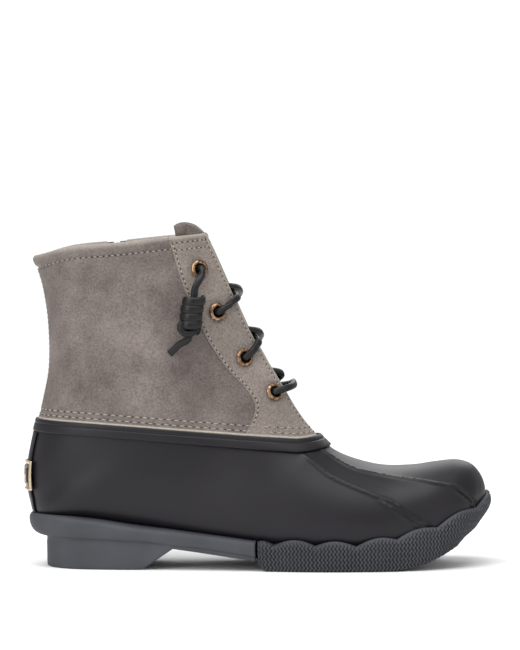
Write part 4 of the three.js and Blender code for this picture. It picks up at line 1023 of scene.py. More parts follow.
fitted(grown(tread, sipes, SIPES), "forefoot_tread")

# ==== insole board, shank
# Hidden inside the sole: a pressed fibre board that the shell is formed round, and a spring steel shank
# in the waist. Both are as the frame has them, and only get their real finishes.

# Pressed fibre board: brown-grey, matt, with coarse specks of fibre.
fibre_board, tree, shader, place = new_material("pressed_fibre_board", Roughness=0.85)
fibres = add(tree, "ShaderNodeTexNoise", Vector=place, Scale=900.0, Detail=4.0)
tone = add(tree, "ShaderNodeValToRGB", {"stops": [(0, "5A4C3C"), (1, "8A7A64")]}, Fac=fibres)
feed(tree, shader, Base_Color=tone)

# Spring steel: cold rolled, so its faint lines run along the shank.
spring_steel, tree, shader, place = new_material(
    "cold_rolled_spring_steel", Metallic=1.0, Roughness=0.35, Base_Color=linear("9C9EA2"))
rolled = add(tree, "ShaderNodeMapping", Vector=place, Scale=(40, 2400, 2400))
lines = add(tree, "ShaderNodeTexNoise", Vector=rolled, Scale=1.0, Detail=2.0)
gloss = add(tree, "ShaderNodeMapRange", Value=lines, To_Min=0.28, To_Max=0.45)
feed(tree, shader, Roughness=gloss)

for name, material in (("insole_board", fibre_board), ("shank", spring_steel)):
    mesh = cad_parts[name].data
    mesh.materials.clear()
    mesh.materials.append(material)
    for polygon in mesh.polygons:
        polygon.material_index = 0

# ==== leather shaft
# Three quarters of taupe-grey cowhide, 2 mm thick, folded over a padded roll at the collar and closed
# with a stitched seam. Their lower edge is cut raw and stitched through the shell's lip in two rows.

# Full-grain cowhide: drum-dyed and lightly finished, with fine pores, faint creases and a dull sheen.
# Where it is cut its undyed middle shows pale; the collar roll's crest is painted pale too, a painted
# highlight.
def leather(name, dark, light):
    material, tree, shader, place = new_material(name, IOR=1.45, Specular_IOR_Level=0.35)
    cloud = add(tree, "ShaderNodeTexNoise", Vector=place, Scale=24.0, Detail=6.0, Roughness=0.62)
    tone = add(tree, "ShaderNodeValToRGB", {"stops": [(0.32, dark), (0.68, light)]}, Fac=cloud)
    dust = add(tree, "ShaderNodeTexNoise", Vector=place, Scale=950.0, Detail=4.0, Roughness=0.7)
    specks = add(tree, "ShaderNodeValToRGB", {"stops": [(0.36, "B4ADA8"), (0.6, "FFFFFF")]}, Fac=dust)
    speckled = add(tree, "ShaderNodeMix", {"data_type": "RGBA", "blend_type": "MULTIPLY"}, Factor=0.75,
                   _6=tone, _7=specks)
    # Pale where the hide is cut, and pale on the collar roll's crest, where it is a painted highlight.
    raw_and_highlight = add(tree, "ShaderNodeAttribute", {"attribute_name": "raw_and_highlight"}).outputs["Fac"]
    fibres = add(tree, "ShaderNodeTexNoise", Vector=place, Scale=900.0)
    cut = add(tree, "ShaderNodeValToRGB", {"stops": [(0, "8E887E"), (1, "C2BBAE")]}, Fac=fibres)
    colour = add(tree, "ShaderNodeMix", {"data_type": "RGBA"}, Factor=raw_and_highlight, _6=speckled.outputs[2], _7=cut)
    gloss = add(tree, "ShaderNodeMapRange", Value=cloud, From_Min=0.35, From_Max=0.65, To_Min=0.62,
                To_Max=0.5)
    pores = add(tree, "ShaderNodeTexVoronoi", {"feature": "DISTANCE_TO_EDGE"}, Vector=place, Scale=1150.0)
    fine = add(tree, "ShaderNodeTexNoise", Vector=place, Scale=800.0, Detail=4.0)
    creases = add(tree, "ShaderNodeTexNoise", Vector=place, Scale=75.0, Detail=5.0, Distortion=0.8)
    bump = add(tree, "ShaderNodeBump", Height=pores, Strength=0.55, Distance=0.00016)
    bump = add(tree, "ShaderNodeBump", Height=fine, Strength=0.6, Distance=0.0003, Normal=bump)
    bump = add(tree, "ShaderNodeBump", Height=creases, Strength=0.6, Distance=0.0016, Normal=bump)
    feed(tree, shader, Base_Color=colour.outputs[2], Roughness=gloss, Normal=bump)
    return material


taupe_hide = leather("taupe_cowhide", "58504D", "857B77")
facing_hide = leather("light_taupe_cowhide", "776E68", "9C928B")

collar = side_line([[-42, 185], [-33, 187], [-20, 190.8], [-8, 192.6], [14, 194.4], [43, 197.6], [70, 200.5]])
seam = standing_line([[88, 80], [92, 88], [94, 95], [92.9, 100.4], [87, 109], [76.6, 120.2], [64.2, 139.6],
                      [51.8, 167.8], [43.9, 193.4], [41.5, 204]])
ROLL = 3.1
LEATHER = 2.0
COLLAR_STITCH = 7.5
COLLAR_HIGHLIGHT = 0.38  # how strongly the roll's crest is painted pale, as a painted highlight
LOW_STITCHES = (2.9, 6.0)  # the two rows' heights over the shell
ZIP_SLOT = 6.2
ZIP_FOOT_X, ZIP_TOP_X = 4.0, 10.0
ZIP_FOOT_Z, ZIP_RISE = 92, 98

def zip_x(z):
    return (ZIP_FOOT_X + (ZIP_TOP_X - ZIP_FOOT_X) * (z - ZIP_FOOT_Z) / ZIP_RISE) * lengthwise


def facing_gap(z):
    return (8.5 + 8 * np.clip((z - SHAFT_BASE) / DRAWN_SHAFT, 0, 1.2)) * crosswise


def between_levels(turn, low, high, share, drop):
    """The station that lies this share of the way from a low line up to a high one, less a drop."""
    turn, share, drop = np.broadcast_arrays(turn, share, drop)

    def above(t):
        p = form_point(t, turn)
        x = p[..., 0]
        return p[..., 2] - (low(x) + (high(x) - drop - low(x)) * share)

    return solve(above, np.full(turn.shape, FOREFOOT), np.full(turn.shape, LAST + 1.5))


def panel_grid(low, high, shares, drops, left, right, columns):
    """Places in rows between two lines and two sides. A side is a turn, or a test with its two turns."""
    shares, drops = np.asarray(shares, float), np.asarray(drops, float)
    ends = []
    for bound in (left, right):
        if callable(bound):
            ends.append(bound(lambda turn: between_levels(turn, low, high, shares, drops), len(shares)))
        else:
            ends.append(np.full(len(shares), float(bound)))
    across = np.linspace(0, 1, columns)[None]
    turn = ends[0][:, None] + (ends[1] - ends[0])[:, None] * across
    return between_levels(turn, low, high, shares[:, None], drops[:, None]), turn


def meets(axis, line, turns, sign=1):
    """A side that follows a line: where x (axis 0) or y (axis 1) equals the line's value at that height."""
    def bound(level, count):
        def past(turn):
            p = form_point(level(turn), turn)
            return sign * (p[..., axis] - line(p[..., 2]))
        return solve(past, np.full(count, turns[0]), np.full(count, turns[1]))
    return bound


def from_seam(side, aside):
    return meets(0, lambda z: seam(z) + aside, SIDE_TURNS[side])


def from_zip(aside):
    return meets(0, lambda z: zip_x(z) + aside, SIDE_TURNS["medial"])


def sheet(name, t, turn, out, material, attributes, holes=()):
    """A hide over a grid of places, with its own distance out at each, folded where the rows fold."""
    outer = lift(t, turn, out)
    down = unit(np.gradient(outer, axis=0))
    along = unit(np.gradient(outer, axis=1))
    inward = unit(np.cross(along, down))
    if (inward * form_normal(t, turn))[:4].sum() > 0:
        inward = -inward
    return both_walls(name, outer, outer + inward * LEATHER, material, attributes, holes)


FACE_ROWS, ROLL_ROWS, TURNED_ROWS, TURNED_DOWN = 150, 14, 6, 9.0
CREST_ROWS = 4  # the first rows of the roll, which still swell with the face
roll_angles = np.linspace(0, math.pi, ROLL_ROWS + 1)[1:]
turned = np.linspace(0, 1, TURNED_ROWS + 1)[1:]
row_shares = np.concatenate([np.linspace(0, 1, FACE_ROWS), np.ones(ROLL_ROWS + TURNED_ROWS)])
row_drops = np.concatenate([
    np.full(FACE_ROWS, ROLL), ROLL - ROLL * np.sin(roll_angles), ROLL + (TURNED_DOWN - ROLL) * turned,
])
row_outs = np.concatenate([
    np.zeros(FACE_ROWS), -ROLL * (1 - np.cos(roll_angles)), np.full(TURNED_ROWS, -2 * ROLL),
])


def leather_foot(x):
    return band_top(x) + 0.15


def dent(distance, width):
    """The shape of a row of stitches pulled into soft leather, one deep at its middle."""
    return np.exp(-(distance / width) ** 2)


def quarter(name, node, left, right, columns, seam_sides):
    t, turn = panel_grid(leather_foot, collar, row_shares, row_drops, left, right, columns)
    p = form_point(t, turn)
    below = collar(p[..., 0]) - p[..., 2]
    above = p[..., 2] - leather_foot(p[..., 0])
    out = np.repeat(row_outs[:, None], columns, 1)
    on_face = (np.arange(len(row_shares)) < FACE_ROWS + CREST_ROWS)[:, None]
    at_back = np.clip((-5 - p[..., 0]) / 30, 0, 1)
    padded = np.sin(np.clip(1 - below / (COLLAR_STITCH + 0.6), 0, 1) * math.pi * 0.5) ** 0.8
    bulge = (0.9 + 1.6 * at_back) * padded
    groove = -0.8 * dent(below - COLLAR_STITCH, 0.9)
    low_rows = -0.18 * sum(dent(above - height, 0.55) for height in LOW_STITCHES)
    flare = 0.5 * np.clip(1 - above / 2.4, 0, 1)
    sway = 0.22 * np.sin(p[..., 2] * 0.09 + p[..., 0] * 0.05) * np.sin(p[..., 0] * 0.07 + 1.0)
    out = out + np.where(on_face, bulge + groove + low_rows + flare + sway, 0)
    past_crest = np.linspace(1, 0, len(row_shares) - FACE_ROWS - CREST_ROWS)[:, None]
    out[FACE_ROWS + CREST_ROWS:] += bulge[FACE_ROWS + CREST_ROWS - 1] * past_crest**2
    for k, distance in enumerate(edge_distance(p)[2:]):
        if k in seam_sides:
            out -= 0.5 * np.clip(1 - distance / 1.0, 0, 1) ** 2
    # Pale along the raw lower edge, and a painted highlight along the collar roll's crest.
    raw_and_highlight = np.maximum(np.clip((1.3 - above) / 0.25, 0, 1), COLLAR_HIGHLIGHT * dent(below, 2.2))
    fitted(sheet(name, t, turn, out, taupe_hide, {"raw_and_highlight": raw_and_highlight}), node)


quarter("outer_quarter", "lateral_quarter", 0.0, from_seam("lateral", 1.6), 190, (0,))
quarter("inner_rear_quarter", "medial_rear_quarter", from_zip(-ZIP_SLOT), 1.0, 80, (0, 1))
quarter("inner_front_quarter", "medial_front_quarter", from_seam("medial", 1.6), from_zip(ZIP_SLOT), 80, (1,))

# ==== facings
# The eyelet facings: a second cut of the same hide, a shade lighter, lapped over the quarters and
# stitched down. A thin leather lining behind each keeps the eyelets from pulling through.

FACING_PROUD = 0.55
EYELET_HOLE = 6.4
FRONT_TURNS = {"lateral": (0.3, 0.5), "medial": (0.7, 0.5)}
BACK_STITCH, FRONT_STITCH, TOP_STITCH, UNDER_TOP_STITCH = 1.8, 2.6, 4.2, 8.4
BACKING = {"outer": -2.35, "inner": -3.55, "above_shell": 12.4, "below_collar": 4, "rows": 110, "columns": 60}
facing_shares, facing_drops = row_shares[:-TURNED_ROWS], row_drops[:-TURNED_ROWS]

for side, sign in SIDES.items():
    back = from_seam(side, 0.1)
    front = meets(1, lambda z: sign * facing_gap(z), FRONT_TURNS[side], -sign)
    t, turn = panel_grid(leather_foot, collar, facing_shares, facing_drops, back, front, 90)
    p = form_point(t, turn)
    below = collar(p[..., 0]) - p[..., 2]
    above = p[..., 2] - leather_foot(p[..., 0])
    _, _, from_back, from_front = edge_distance(p)
    out = np.repeat(row_outs[:-TURNED_ROWS, None], t.shape[1], 1)
    on_face = (np.arange(len(out)) < FACE_ROWS + CREST_ROWS)[:, None]
    lap = FACING_PROUD + 0.35 * np.exp(-from_back / 1.4) - rounded(from_back, 0.7)
    edges = -rounded(from_front, 0.9)
    side_rows = -0.2 * (dent(from_back - BACK_STITCH, 0.5) + dent(from_front - FRONT_STITCH, 0.5))
    top_rows = -0.4 * dent(below - TOP_STITCH, 0.7) - 0.25 * dent(below - UNDER_TOP_STITCH, 0.6)
    puckers = 0.0
    for spot in EYELETS[side]:
        away = np.linalg.norm(p - form_point(*spot), axis=-1)
        puckers = puckers - 0.5 * dent(away - 5.6, 1.3)
    bulge = 0.9 * np.clip(1 - below / 5, 0, 1)
    out = out + np.where(on_face, lap + edges + side_rows + top_rows + puckers + bulge, 0.5)
    raw_and_highlight = np.maximum(np.clip((1.5 - from_front) / 0.25, 0, 1) * 0.8, np.clip((1.2 - above) / 0.25, 0, 1))
    # The collar roll's crest gets the same painted highlight.
    raw_and_highlight = np.maximum(raw_and_highlight, COLLAR_HIGHLIGHT * dent(below, 2.2))
    holes = [(form_point(*spot), form_normal(*spot), EYELET_HOLE / 2 + 1.0) for spot in EYELETS[side]]
    facing = sheet(f"{side}_eyelet_facing", t, turn, out, facing_hide, {"raw_and_highlight": raw_and_highlight}, holes)
    fitted(facing, f"{side}_facing")

    t, turn = panel_grid(
        lambda x: band_top(x) + BACKING["above_shell"], lambda x: collar(x) - BACKING["below_collar"],
        np.linspace(0, 1, BACKING["rows"]), np.zeros(BACKING["rows"]), back, front, BACKING["columns"])
    backing = slab(f"{side}_facing_backing", t, turn, BACKING["outer"], BACKING["inner"], facing_hide,
                   holes=holes)
    fitted(backing, f"{side}_facing_lining")

# ==== stitching
# Heavy bonded polyester thread, 0.8 mm thick, lock-stitched: each stitch dives into its own needle hole.
# It holds the leather to the shell's lip, the facings to the quarters, and closes the collar roll.

# Bonded thread: three filaments twisted and waxed, pale grey, slightly shiny.
thread, tree, shader, place = new_material(
    "pale_bonded_thread", Roughness=0.5, Sheen_Weight=0.3, Sheen_Roughness=0.4)
fuzz = add(tree, "ShaderNodeTexNoise", Vector=place, Scale=1400.0, Detail=2.0)
tone = add(tree, "ShaderNodeValToRGB", {"stops": [(0, "7D756D"), (1, "A9A096")]}, Fac=fuzz)
feed(tree, shader, Base_Color=tone)

# Needle holes: the leather's pressed-in rims, dark with shade.
hole_shade, tree, shader, place = new_material("needle_hole_shade", Roughness=0.9)
murk = add(tree, "ShaderNodeTexNoise", Vector=place, Scale=1500.0)
tone = add(tree, "ShaderNodeValToRGB", {"stops": [(0, "1D1917"), (1, "332D2A")]}, Fac=murk)
feed(tree, shader, Base_Color=tone)


def spaced_along(tree, given):
    """Points a pitch apart on a run, which way it goes there, and the turn that lays a thing along it."""
    run = add(tree, "GeometryNodeMeshToCurve", Mesh=given["Geometry"])
    spaced = add(tree, "GeometryNodeResampleCurve", {"mode": "LENGTH"}, Curve=run, Length=given["Pitch"])
    ahead = add(tree, "GeometryNodeInputTangent")
    out = add(tree, "GeometryNodeInputNamedAttribute", {"data_type": "FLOAT_VECTOR"}, Name="out")
    turn = add(tree, "FunctionNodeAlignEulerToVector", {"axis": "X"}, Vector=ahead)
    turn = add(tree, "FunctionNodeAlignEulerToVector", {"axis": "Z", "pivot_axis": "X"}, Rotation=turn,
               Vector=out.outputs["Attribute"])
    return spaced, ahead, turn


# A stitch is a ball drawn out along the run, and its needle hole is a flat one half a pitch on, dark with
# painted shade.
STITCHES = {"Pitch": 0.0032, "Length": 0.0021, "Thickness": 0.0004, "Hole": 0.00042, "Thread": thread,
            "Shade": hole_shade}
stitching, given = new_tree("stitching", STITCHES)
spaced, ahead, turn = spaced_along(stitching, given)
ball = add(stitching, "GeometryNodeMeshUVSphere", Segments=8, Rings=5, Radius=0.5)
size = add(stitching, "ShaderNodeCombineXYZ", X=given["Length"], Y=given["Thickness"], Z=given["Thickness"])
size = add(stitching, "ShaderNodeVectorMath", {"operation": "MULTIPLY"}, _0=size, _1=(1, 2, 2))
stitches = add(stitching, "GeometryNodeInstanceOnPoints", Points=spaced, Instance=ball, Rotation=turn,
               Scale=size)
half_pitch = add(stitching, MATHS, {"operation": "MULTIPLY"}, _0=given["Pitch"], _1=0.5)
step = add(stitching, "ShaderNodeVectorMath", {"operation": "SCALE"}, Vector=ahead, Scale=half_pitch)
shifted = add(stitching, "GeometryNodeSetPosition", Geometry=spaced, Offset=step)
size = add(stitching, "ShaderNodeCombineXYZ", X=given["Hole"], Y=given["Hole"], Z=given["Hole"])
size = add(stitching, "ShaderNodeVectorMath", {"operation": "MULTIPLY"}, _0=size, _1=(2.6, 2.2, 0.9))
holes = add(stitching, "GeometryNodeInstanceOnPoints", Points=shifted, Instance=ball, Rotation=turn,
            Scale=size)
both = stitching.nodes.new("GeometryNodeJoinGeometry")
for made, material in ((stitches, given["Thread"]), (holes, given["Shade"])):
    real = add(stitching, "GeometryNodeRealizeInstances", Geometry=made)
    painted = add(stitching, "GeometryNodeSetMaterial", Geometry=real, Material=material)
    feed(stitching, both, Geometry=painted)
add(stitching, "NodeGroupOutput", Geometry=both)


def run_through(name, points, outs, edges):
    """A wire through points in millimetres that knows which way is out at each of them."""
    mesh = bpy.data.meshes.new(name)
    mesh.from_pydata((np.array(points) / 1000).tolist(), edges, [])
    layer = mesh.attributes.new("out", "FLOAT_VECTOR", "POINT")
    layer.data.foreach_set("vector", np.array(outs, np.float32).ravel())
    piece = bpy.data.objects.new(name, mesh)
    bpy.context.scene.collection.objects.link(piece)
    return piece


def stitch_run(name, rows, pitch, shown=0.62):
    """Stitches along rows of places, each row (t, turn, out)."""
    points, outs, edges = [], [], []
    for t, turn, out in rows:
        edges += [(len(points) + k, len(points) + k + 1) for k in range(len(t) - 1)]
        points += lift(t, turn, out).tolist()
        outs += form_normal(t, turn).tolist()
    piece = grown(run_through(name, points, outs, edges), stitching,
                  {**STITCHES, "Pitch": pitch, "Length": pitch * shown})
    piece.data.polygons.foreach_set("use_smooth", [True] * len(piece.data.polygons))
    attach(piece, "boot")


def level_row(line, turns, out, count=260):
    turn = np.linspace(*turns, count)
    return on_level(turn, line), turn, np.full(count, out)


def turn_at(axis, value, z, turns):
    """The turn of one place, given its height and its x (axis 0) or y (axis 1)."""
    return float(find(z, axis, value, turns)[1])


def past_middle(side):
    """The turns from one side to just past the middle of the front."""
    return (0.3, 0.4999) if SIDES[side] < 0 else (0.4999, 0.7)


STRAIGHT_BACK = 0.002  # the rows start this turn either side of the back seam
outer, inner = SIDE_TURNS["lateral"], SIDE_TURNS["medial"]
seam_foot, seam_top = turn_at(0, seam(88.0), 88.0, outer), turn_at(0, seam(190.0), 190.0, outer)
zip_foot_turns = [turn_at(0, zip_x(92.0) + aside, 92.0, inner) for aside in (-10, 10)]
zip_top_turns = [turn_at(0, zip_x(184.0) + aside, 184.0, inner) for aside in (-10, 10)]
rows = []
for height in LOW_STITCHES:
    line = lambda x: band_top(x) + height + 0.15
    rows.append(level_row(line, (STRAIGHT_BACK, seam_foot), 0.02, 420))
    rows.append(level_row(line, (1 - STRAIGHT_BACK, zip_foot_turns[0]), 0.02, 160))
    rows.append(level_row(line, (zip_foot_turns[1], 1 - seam_foot), 0.02, 200))
    for side, sign in SIDES.items():
        z = 80.5 + height
        tip = turn_at(1, sign * (facing_gap(z) + 3.2), z, past_middle(side))
        start = seam_foot + 0.012 if sign < 0 else 1 - seam_foot - 0.012
        rows.append(level_row(line, (start, tip), FACING_PROUD, 160))
stitch_run("lower_edge_stitching", rows, 0.0046, shown=0.6)
rows = [level_row(lambda x: collar(x) - COLLAR_STITCH, turns, -0.55) for turns in (
    (STRAIGHT_BACK, seam_top), (1 - STRAIGHT_BACK, zip_top_turns[0]), (zip_top_turns[1], 1 - seam_top))]
stitch_run("collar_stitching", rows, 0.0034)
rows = []
for side, sign in SIDES.items():
    z = np.linspace(86, 192, 300)
    rows.append((*find(z, 0, seam(z) + 1.9, SIDE_TURNS[side]), np.full(300, FACING_PROUD)))
    t, turn = find(z, 1, sign * (facing_gap(z) + 2.61), past_middle(side))
    rows.append((t, turn, np.full(300, FACING_PROUD - 0.05)))
    for drop in (4.2, 8.6):
        ends = [turn_at(0, seam(190.0) + 3, 194 - drop, SIDE_TURNS[side]), float(turn[-1]) + sign * 0.007]
        rows.append(level_row(lambda x: collar(x) - drop, ends, FACING_PROUD - 0.1, 60))
stitch_run("facing_stitching", rows, 0.0031)
rows = [(*on_back(np.full(200, y), np.linspace(96, 176, 200)), np.zeros(200)) for y in (-2.2, 2.2)]
z = np.linspace(93, 186, 240)
rows += [(*find(z, 0, zip_x(z) + aside, inner), np.zeros(240)) for aside in (-8.6, 8.6)]
stitch_run("seam_stitching", rows, 0.0031)

# ==== collar padding
# Two pads of soft foam, 24 mm high, that fill the roll under the collar. The zip parts them: the rear one
# runs round the heel from the outer seam to the zip, and the short one lies before it.

# Upholstery foam: pale, matt and full of small open cells.
pad_foam, tree, shader, place = new_material("open_cell_foam", Roughness=0.95, Sheen_Weight=0.2)
cells = add(tree, "ShaderNodeTexVoronoi", Vector=place, Scale=900.0)
tone = add(tree, "ShaderNodeValToRGB", {"stops": [(0, "8F8A7C"), (1, "C9C4B4")]}, Fac=cells)
bump = add(tree, "ShaderNodeBump", Height=cells, Strength=0.4, Distance=0.0003)
feed(tree, shader, Base_Color=tone, Normal=bump)


def behind_sheet(low, high, shares, left, right, columns, round_heel):
    """Places between two lines and two sides. Round the heel they cross the back, where turns start."""
    drops = np.zeros(len(shares))
    t, turn = panel_grid(low, high, shares, drops, left, right, columns)
    if round_heel:
        start, end = turn[:, :1], turn[:, -1:] - 1
        turn = start + (end - start) * np.linspace(0, 1, columns)[None]
        t = between_levels(turn, low, high, shares[:, None], drops[:, None])
    return t, turn


PAD = {"low": 24, "high": 3.4, "seam": -1.5, "zip": 13.6, "outer": -2.1, "inner": -3.9}
pad_shares = fractions(20, 1.0)
for name, left, right, columns in (
    ("rear", from_seam("lateral", PAD["seam"]), from_zip(-PAD["zip"]), 120),
    ("front", from_zip(PAD["zip"]), from_seam("medial", PAD["seam"]), 40),
):
    t, turn = behind_sheet(lambda x: collar(x) - PAD["low"], lambda x: collar(x) - PAD["high"], pad_shares,
                           left, right, columns, name == "rear")
    pad = slab(f"collar_pad_{name}", t, turn, PAD["outer"], PAD["inner"], pad_foam)
    fitted(pad, f"collar_padding_{name}")

# ==== fleece lining
# A knitted fleece lining glued inside the shell and the leather, brushed soft on its face. It stops under
# the turned collar, at the tongue and either side of the zip.

# Brushed polyester fleece: cream-grey tufts about 1.5 mm across, with a bright fuzzy edge.
fleece, tree, shader, place = new_material(
    "brushed_fleece", Roughness=0.95, Sheen_Weight=0.8, Sheen_Roughness=0.6, Sheen_Tint=linear("D8D2C8"))
tufts = add(tree, "ShaderNodeTexVoronoi", Vector=place, Scale=520.0)
fibres = add(tree, "ShaderNodeTexNoise", Vector=place, Scale=1500.0, Detail=4.0)
pile = add(tree, MATHS, {"operation": "ADD"}, _0=tufts, _1=fibres)
tone = add(tree, "ShaderNodeValToRGB", {"stops": [(0, "A39C90"), (1, "CDC6BA")]}, Fac=fibres)
bump = add(tree, "ShaderNodeBump", Height=pile, Strength=0.7, Distance=0.0008)
feed(tree, shader, Base_Color=tone, Normal=bump)

# The foot's part is a sock of two walls, and the shaft's two parts are sheets, all in one piece of fabric.
SOCK = {"outer": -3.9, "inner": -6.3, "toe": 1.4, "above_shell": 7.5, "rows": 90, "columns": 160}
SHAFT_FLEECE = {"outer": -4.2, "inner": -6.6, "above_shell": 7.8, "below_collar": 8.2, "rows": 70,
                "columns": 110}
foot_turns = np.linspace(0, 1, SOCK["columns"], endpoint=False)
throat_t = on_level(foot_turns, lambda x: band_top(x) + SOCK["above_shell"])
t = SOCK["toe"] + (throat_t[None] - SOCK["toe"]) * np.linspace(0, 1, SOCK["rows"])[:, None]
turn = np.repeat(foot_turns[None], SOCK["rows"], 0)
outer, inner = (lift(t, turn, np.full(t.shape, SOCK[wall])) for wall in ("outer", "inner"))
rings = np.concatenate([outer, inner[::-1], outer[:1]])
parts, faces = [rings.reshape(-1, 3)], grid_faces(len(rings), SOCK["columns"], closed=True)
for left, right, round_heel in (
    (from_seam("lateral", -1.0), from_zip(-ZIP_SLOT), True),
    (from_zip(ZIP_SLOT), from_seam("medial", -1.0), False),
):
    t, turn = behind_sheet(
        lambda x: band_top(x) + SHAFT_FLEECE["above_shell"],
        lambda x: collar(x) - SHAFT_FLEECE["below_collar"],
        np.linspace(0, 1, SHAFT_FLEECE["rows"]), left, right, SHAFT_FLEECE["columns"], round_heel)
    made = slab("fleece_part", t, turn, SHAFT_FLEECE["outer"], SHAFT_FLEECE["inner"], fleece)
    count = sum(len(part) for part in parts)
    faces += [[i + count for i in polygon.vertices] for polygon in made.data.polygons]
    parts.append(np.array([v.co for v in made.data.vertices]) * 1000)
    bpy.data.objects.remove(made)
fitted(make_piece("fleece_boot_lining", np.concatenate(parts), faces, fleece), "fleece_lining")

# ==== footbed
# A removable footbed of foam faced with the same fleece. The foot has pressed it hollow under the heel
# and under the ball, and its edges thin out to meet the lining.

BED = {"heel": -27, "toe": 221, "over_sole": 8.4, "edge": 0.4, "crown": 2.8}
BED_ROWS, BED_COLUMNS = 120, 41
bed_line = smooth_line(np.column_stack([STATIONS[1:14, 2], STATIONS[1:14, 3]])[::-1], 300)
bed_x = np.linspace(BED["heel"], BED["toe"], BED_ROWS) * lengthwise
bed_base = np.interp(bed_x, bed_line[:, 0] * lengthwise, bed_line[:, 1]) + BED["over_sole"]
half_at = [bed_x[0], bed_x[0] + 6, bed_x[0] + 22, 30, 94, 150, 190, 212, bed_x[-1]]
half = np.interp(bed_x, half_at, [3, 15, 22, 24, 29, 34.5, 31, 21, 4])
shift = np.interp(bed_x, [0, 94, 150, 190, 221], [-0.8, -1.5, -0.5, 2, 8]) * crosswise
aside = np.linspace(-1, 1, BED_COLUMNS)
y = shift[:, None] + (half * crosswise)[:, None] * aside
pressed = 1.0 * np.exp(-((bed_x - 2) / 26) ** 2) + 0.8 * np.exp(-((bed_x - 160) / 30) ** 2)
x, base = (np.repeat(values[:, None], BED_COLUMNS, 1) for values in (bed_x, bed_base))
top = base + BED["edge"] + BED["crown"] * (1 - np.abs(aside) ** 6) - pressed[:, None] * (1 - aside**2)
rings = np.concatenate([np.stack([x, y, top], axis=2), np.stack([x, y, base], axis=2)[:, ::-1]], axis=1)
points, around = rings.reshape(-1, 3), rings.shape[1]
faces = grid_faces(BED_ROWS, around, closed=True)
faces += [list(range(around))[::-1], list(range(len(points) - around, len(points)))]
bed = fitted(make_piece("fleece_footbed", points, faces, fleece), "footbed")

# ==== tongue, gussets
# The padded tongue: soft grey leather round thin foam, with a domed top that stands above the collar. Thin
# gussets join its edges to the quarters and keep water out.

tongue_hide = leather("soft_tongue_hide", "564F4C", "847A75")
TONGUE = {"outer": -10.4, "inner": -13.4, "foot": 80, "ahead": 7, "leans_from": 186, "leans_over": 15,
          "lean": 6.2}
GUSSET = {"outer": -10.4, "inner": -11.4, "above_shell": 12, "below_collar": 24, "behind": -8, "ahead": 6.7}
tongue_top = side_line([[30, 203], [44, 203.5], [52, 206], [58, 206.5], [64, 205], [72, 199]])
shares = fractions(125, 1.2)
t, turn = panel_grid(lambda x: 0 * x + TONGUE["foot"], tongue_top, shares, np.zeros(len(shares)),
                     from_seam("lateral", TONGUE["ahead"]), from_seam("medial", TONGUE["ahead"]), 90)
_, from_top, from_left, from_right = edge_distance(lift(t, turn, np.full(t.shape, -12.0)))
border = np.minimum(np.minimum(from_left, from_right), from_top)
puff = 0.9 * (1 - np.exp(-border / 7)) - 0.5 * dent(border - 5.2, 0.7) - 0.4
# Above the facings' lining the tongue leans forward to the collar's front edge.
lean = np.clip((form_point(t, turn)[..., 2] - TONGUE["leans_from"]) / TONGUE["leans_over"], 0, 1)
lean = TONGUE["lean"] * lean**2 * (3 - 2 * lean)
tongue = slab("padded_tongue", t, turn, TONGUE["outer"] + lean, TONGUE["inner"] + lean, tongue_hide,
              raised=puff)
fitted(tongue, "tongue")
shares = fractions(80, 2)
for side in SIDES:
    t, turn = panel_grid(
        lambda x: band_top(x) + GUSSET["above_shell"], lambda x: collar(x) - GUSSET["below_collar"], shares,
        np.zeros(len(shares)), from_seam(side, GUSSET["behind"]), from_seam(side, GUSSET["ahead"]), 16)
    gusset = slab(f"{side}_gusset", t, turn, GUSSET["outer"], GUSSET["inner"], tongue_hide)
    fitted(gusset, f"gusset_{side}")

# ==== eyelets
# Eight two-part eyelets of antiqued brass: a domed flange with a ring of punched dots, a barrel through the
# leather, and a rolled edge behind. They are set with a hand press.

# Antiqued brass: copper-brown, worn bright on the dome and almost black in the punched dots.
antique_brass, tree, shader, place = new_material("antiqued_brass", Metallic=1.0, Roughness=0.36)
patina = add(tree, "ShaderNodeTexNoise", Vector=place, Scale=620.0, Detail=5.0)
tone = add(tree, "ShaderNodeValToRGB", {"stops": [(0.35, "4E3829"), (0.66, "A88A6C")]}, Fac=patina)
gloss = add(tree, "ShaderNodeMapRange", Value=patina, From_Min=0.3, From_Max=0.7, To_Min=0.52, To_Max=0.26)
feed(tree, shader, Base_Color=tone, Roughness=gloss)

DOTS, DOT_DEPTH, DOTTED_RINGS = 16, 0.22, (5, 6)
EYELET_SIDES = 48
EYELET_PROFILE = [  # radius and distance out, round the section
    (3.2, -4.2), (3.2, 0.9), (3.3, 1.25), (3.6, 1.5), (4.0, 1.55), (4.6, 1.35), (5.1, 0.95), (5.45, 0.5),
    (5.5, 0.15), (5.35, 0.0), (3.75, 0.0), (3.75, -3.9), (4.5, -3.95), (4.6, -4.3), (4.3, -4.7), (3.6, -4.75),
    (3.25, -4.55),
]
angle = np.linspace(0, 2 * math.pi, EYELET_SIDES, endpoint=False)
dots = -DOT_DEPTH * np.cos(angle * DOTS) ** 8
for side, places in EYELETS.items():
    for number, spot in enumerate(places, 1):
        centre, axis = lift(*spot, FACING_PROUD + 0.1), form_normal(*spot)
        first = unit(np.cross(axis, [0, 0, 1.0]))
        ring = first * np.cos(angle)[:, None] + np.cross(axis, first) * np.sin(angle)[:, None]
        rings = []
        for k, (radius, out) in enumerate(EYELET_PROFILE):
            outs = out + (dots if k in DOTTED_RINGS else 0 * dots)
            rings.append(centre + ring * radius + axis * outs[:, None])
        rings = np.array([*rings, rings[0]])
        faces = grid_faces(len(rings), EYELET_SIDES, closed=True)
        piece = make_piece(f"{side}_eyelet_{number}", rings.reshape(-1, 3), faces, antique_brass)
        fitted(piece, f"eyelet_{side}_{number}")

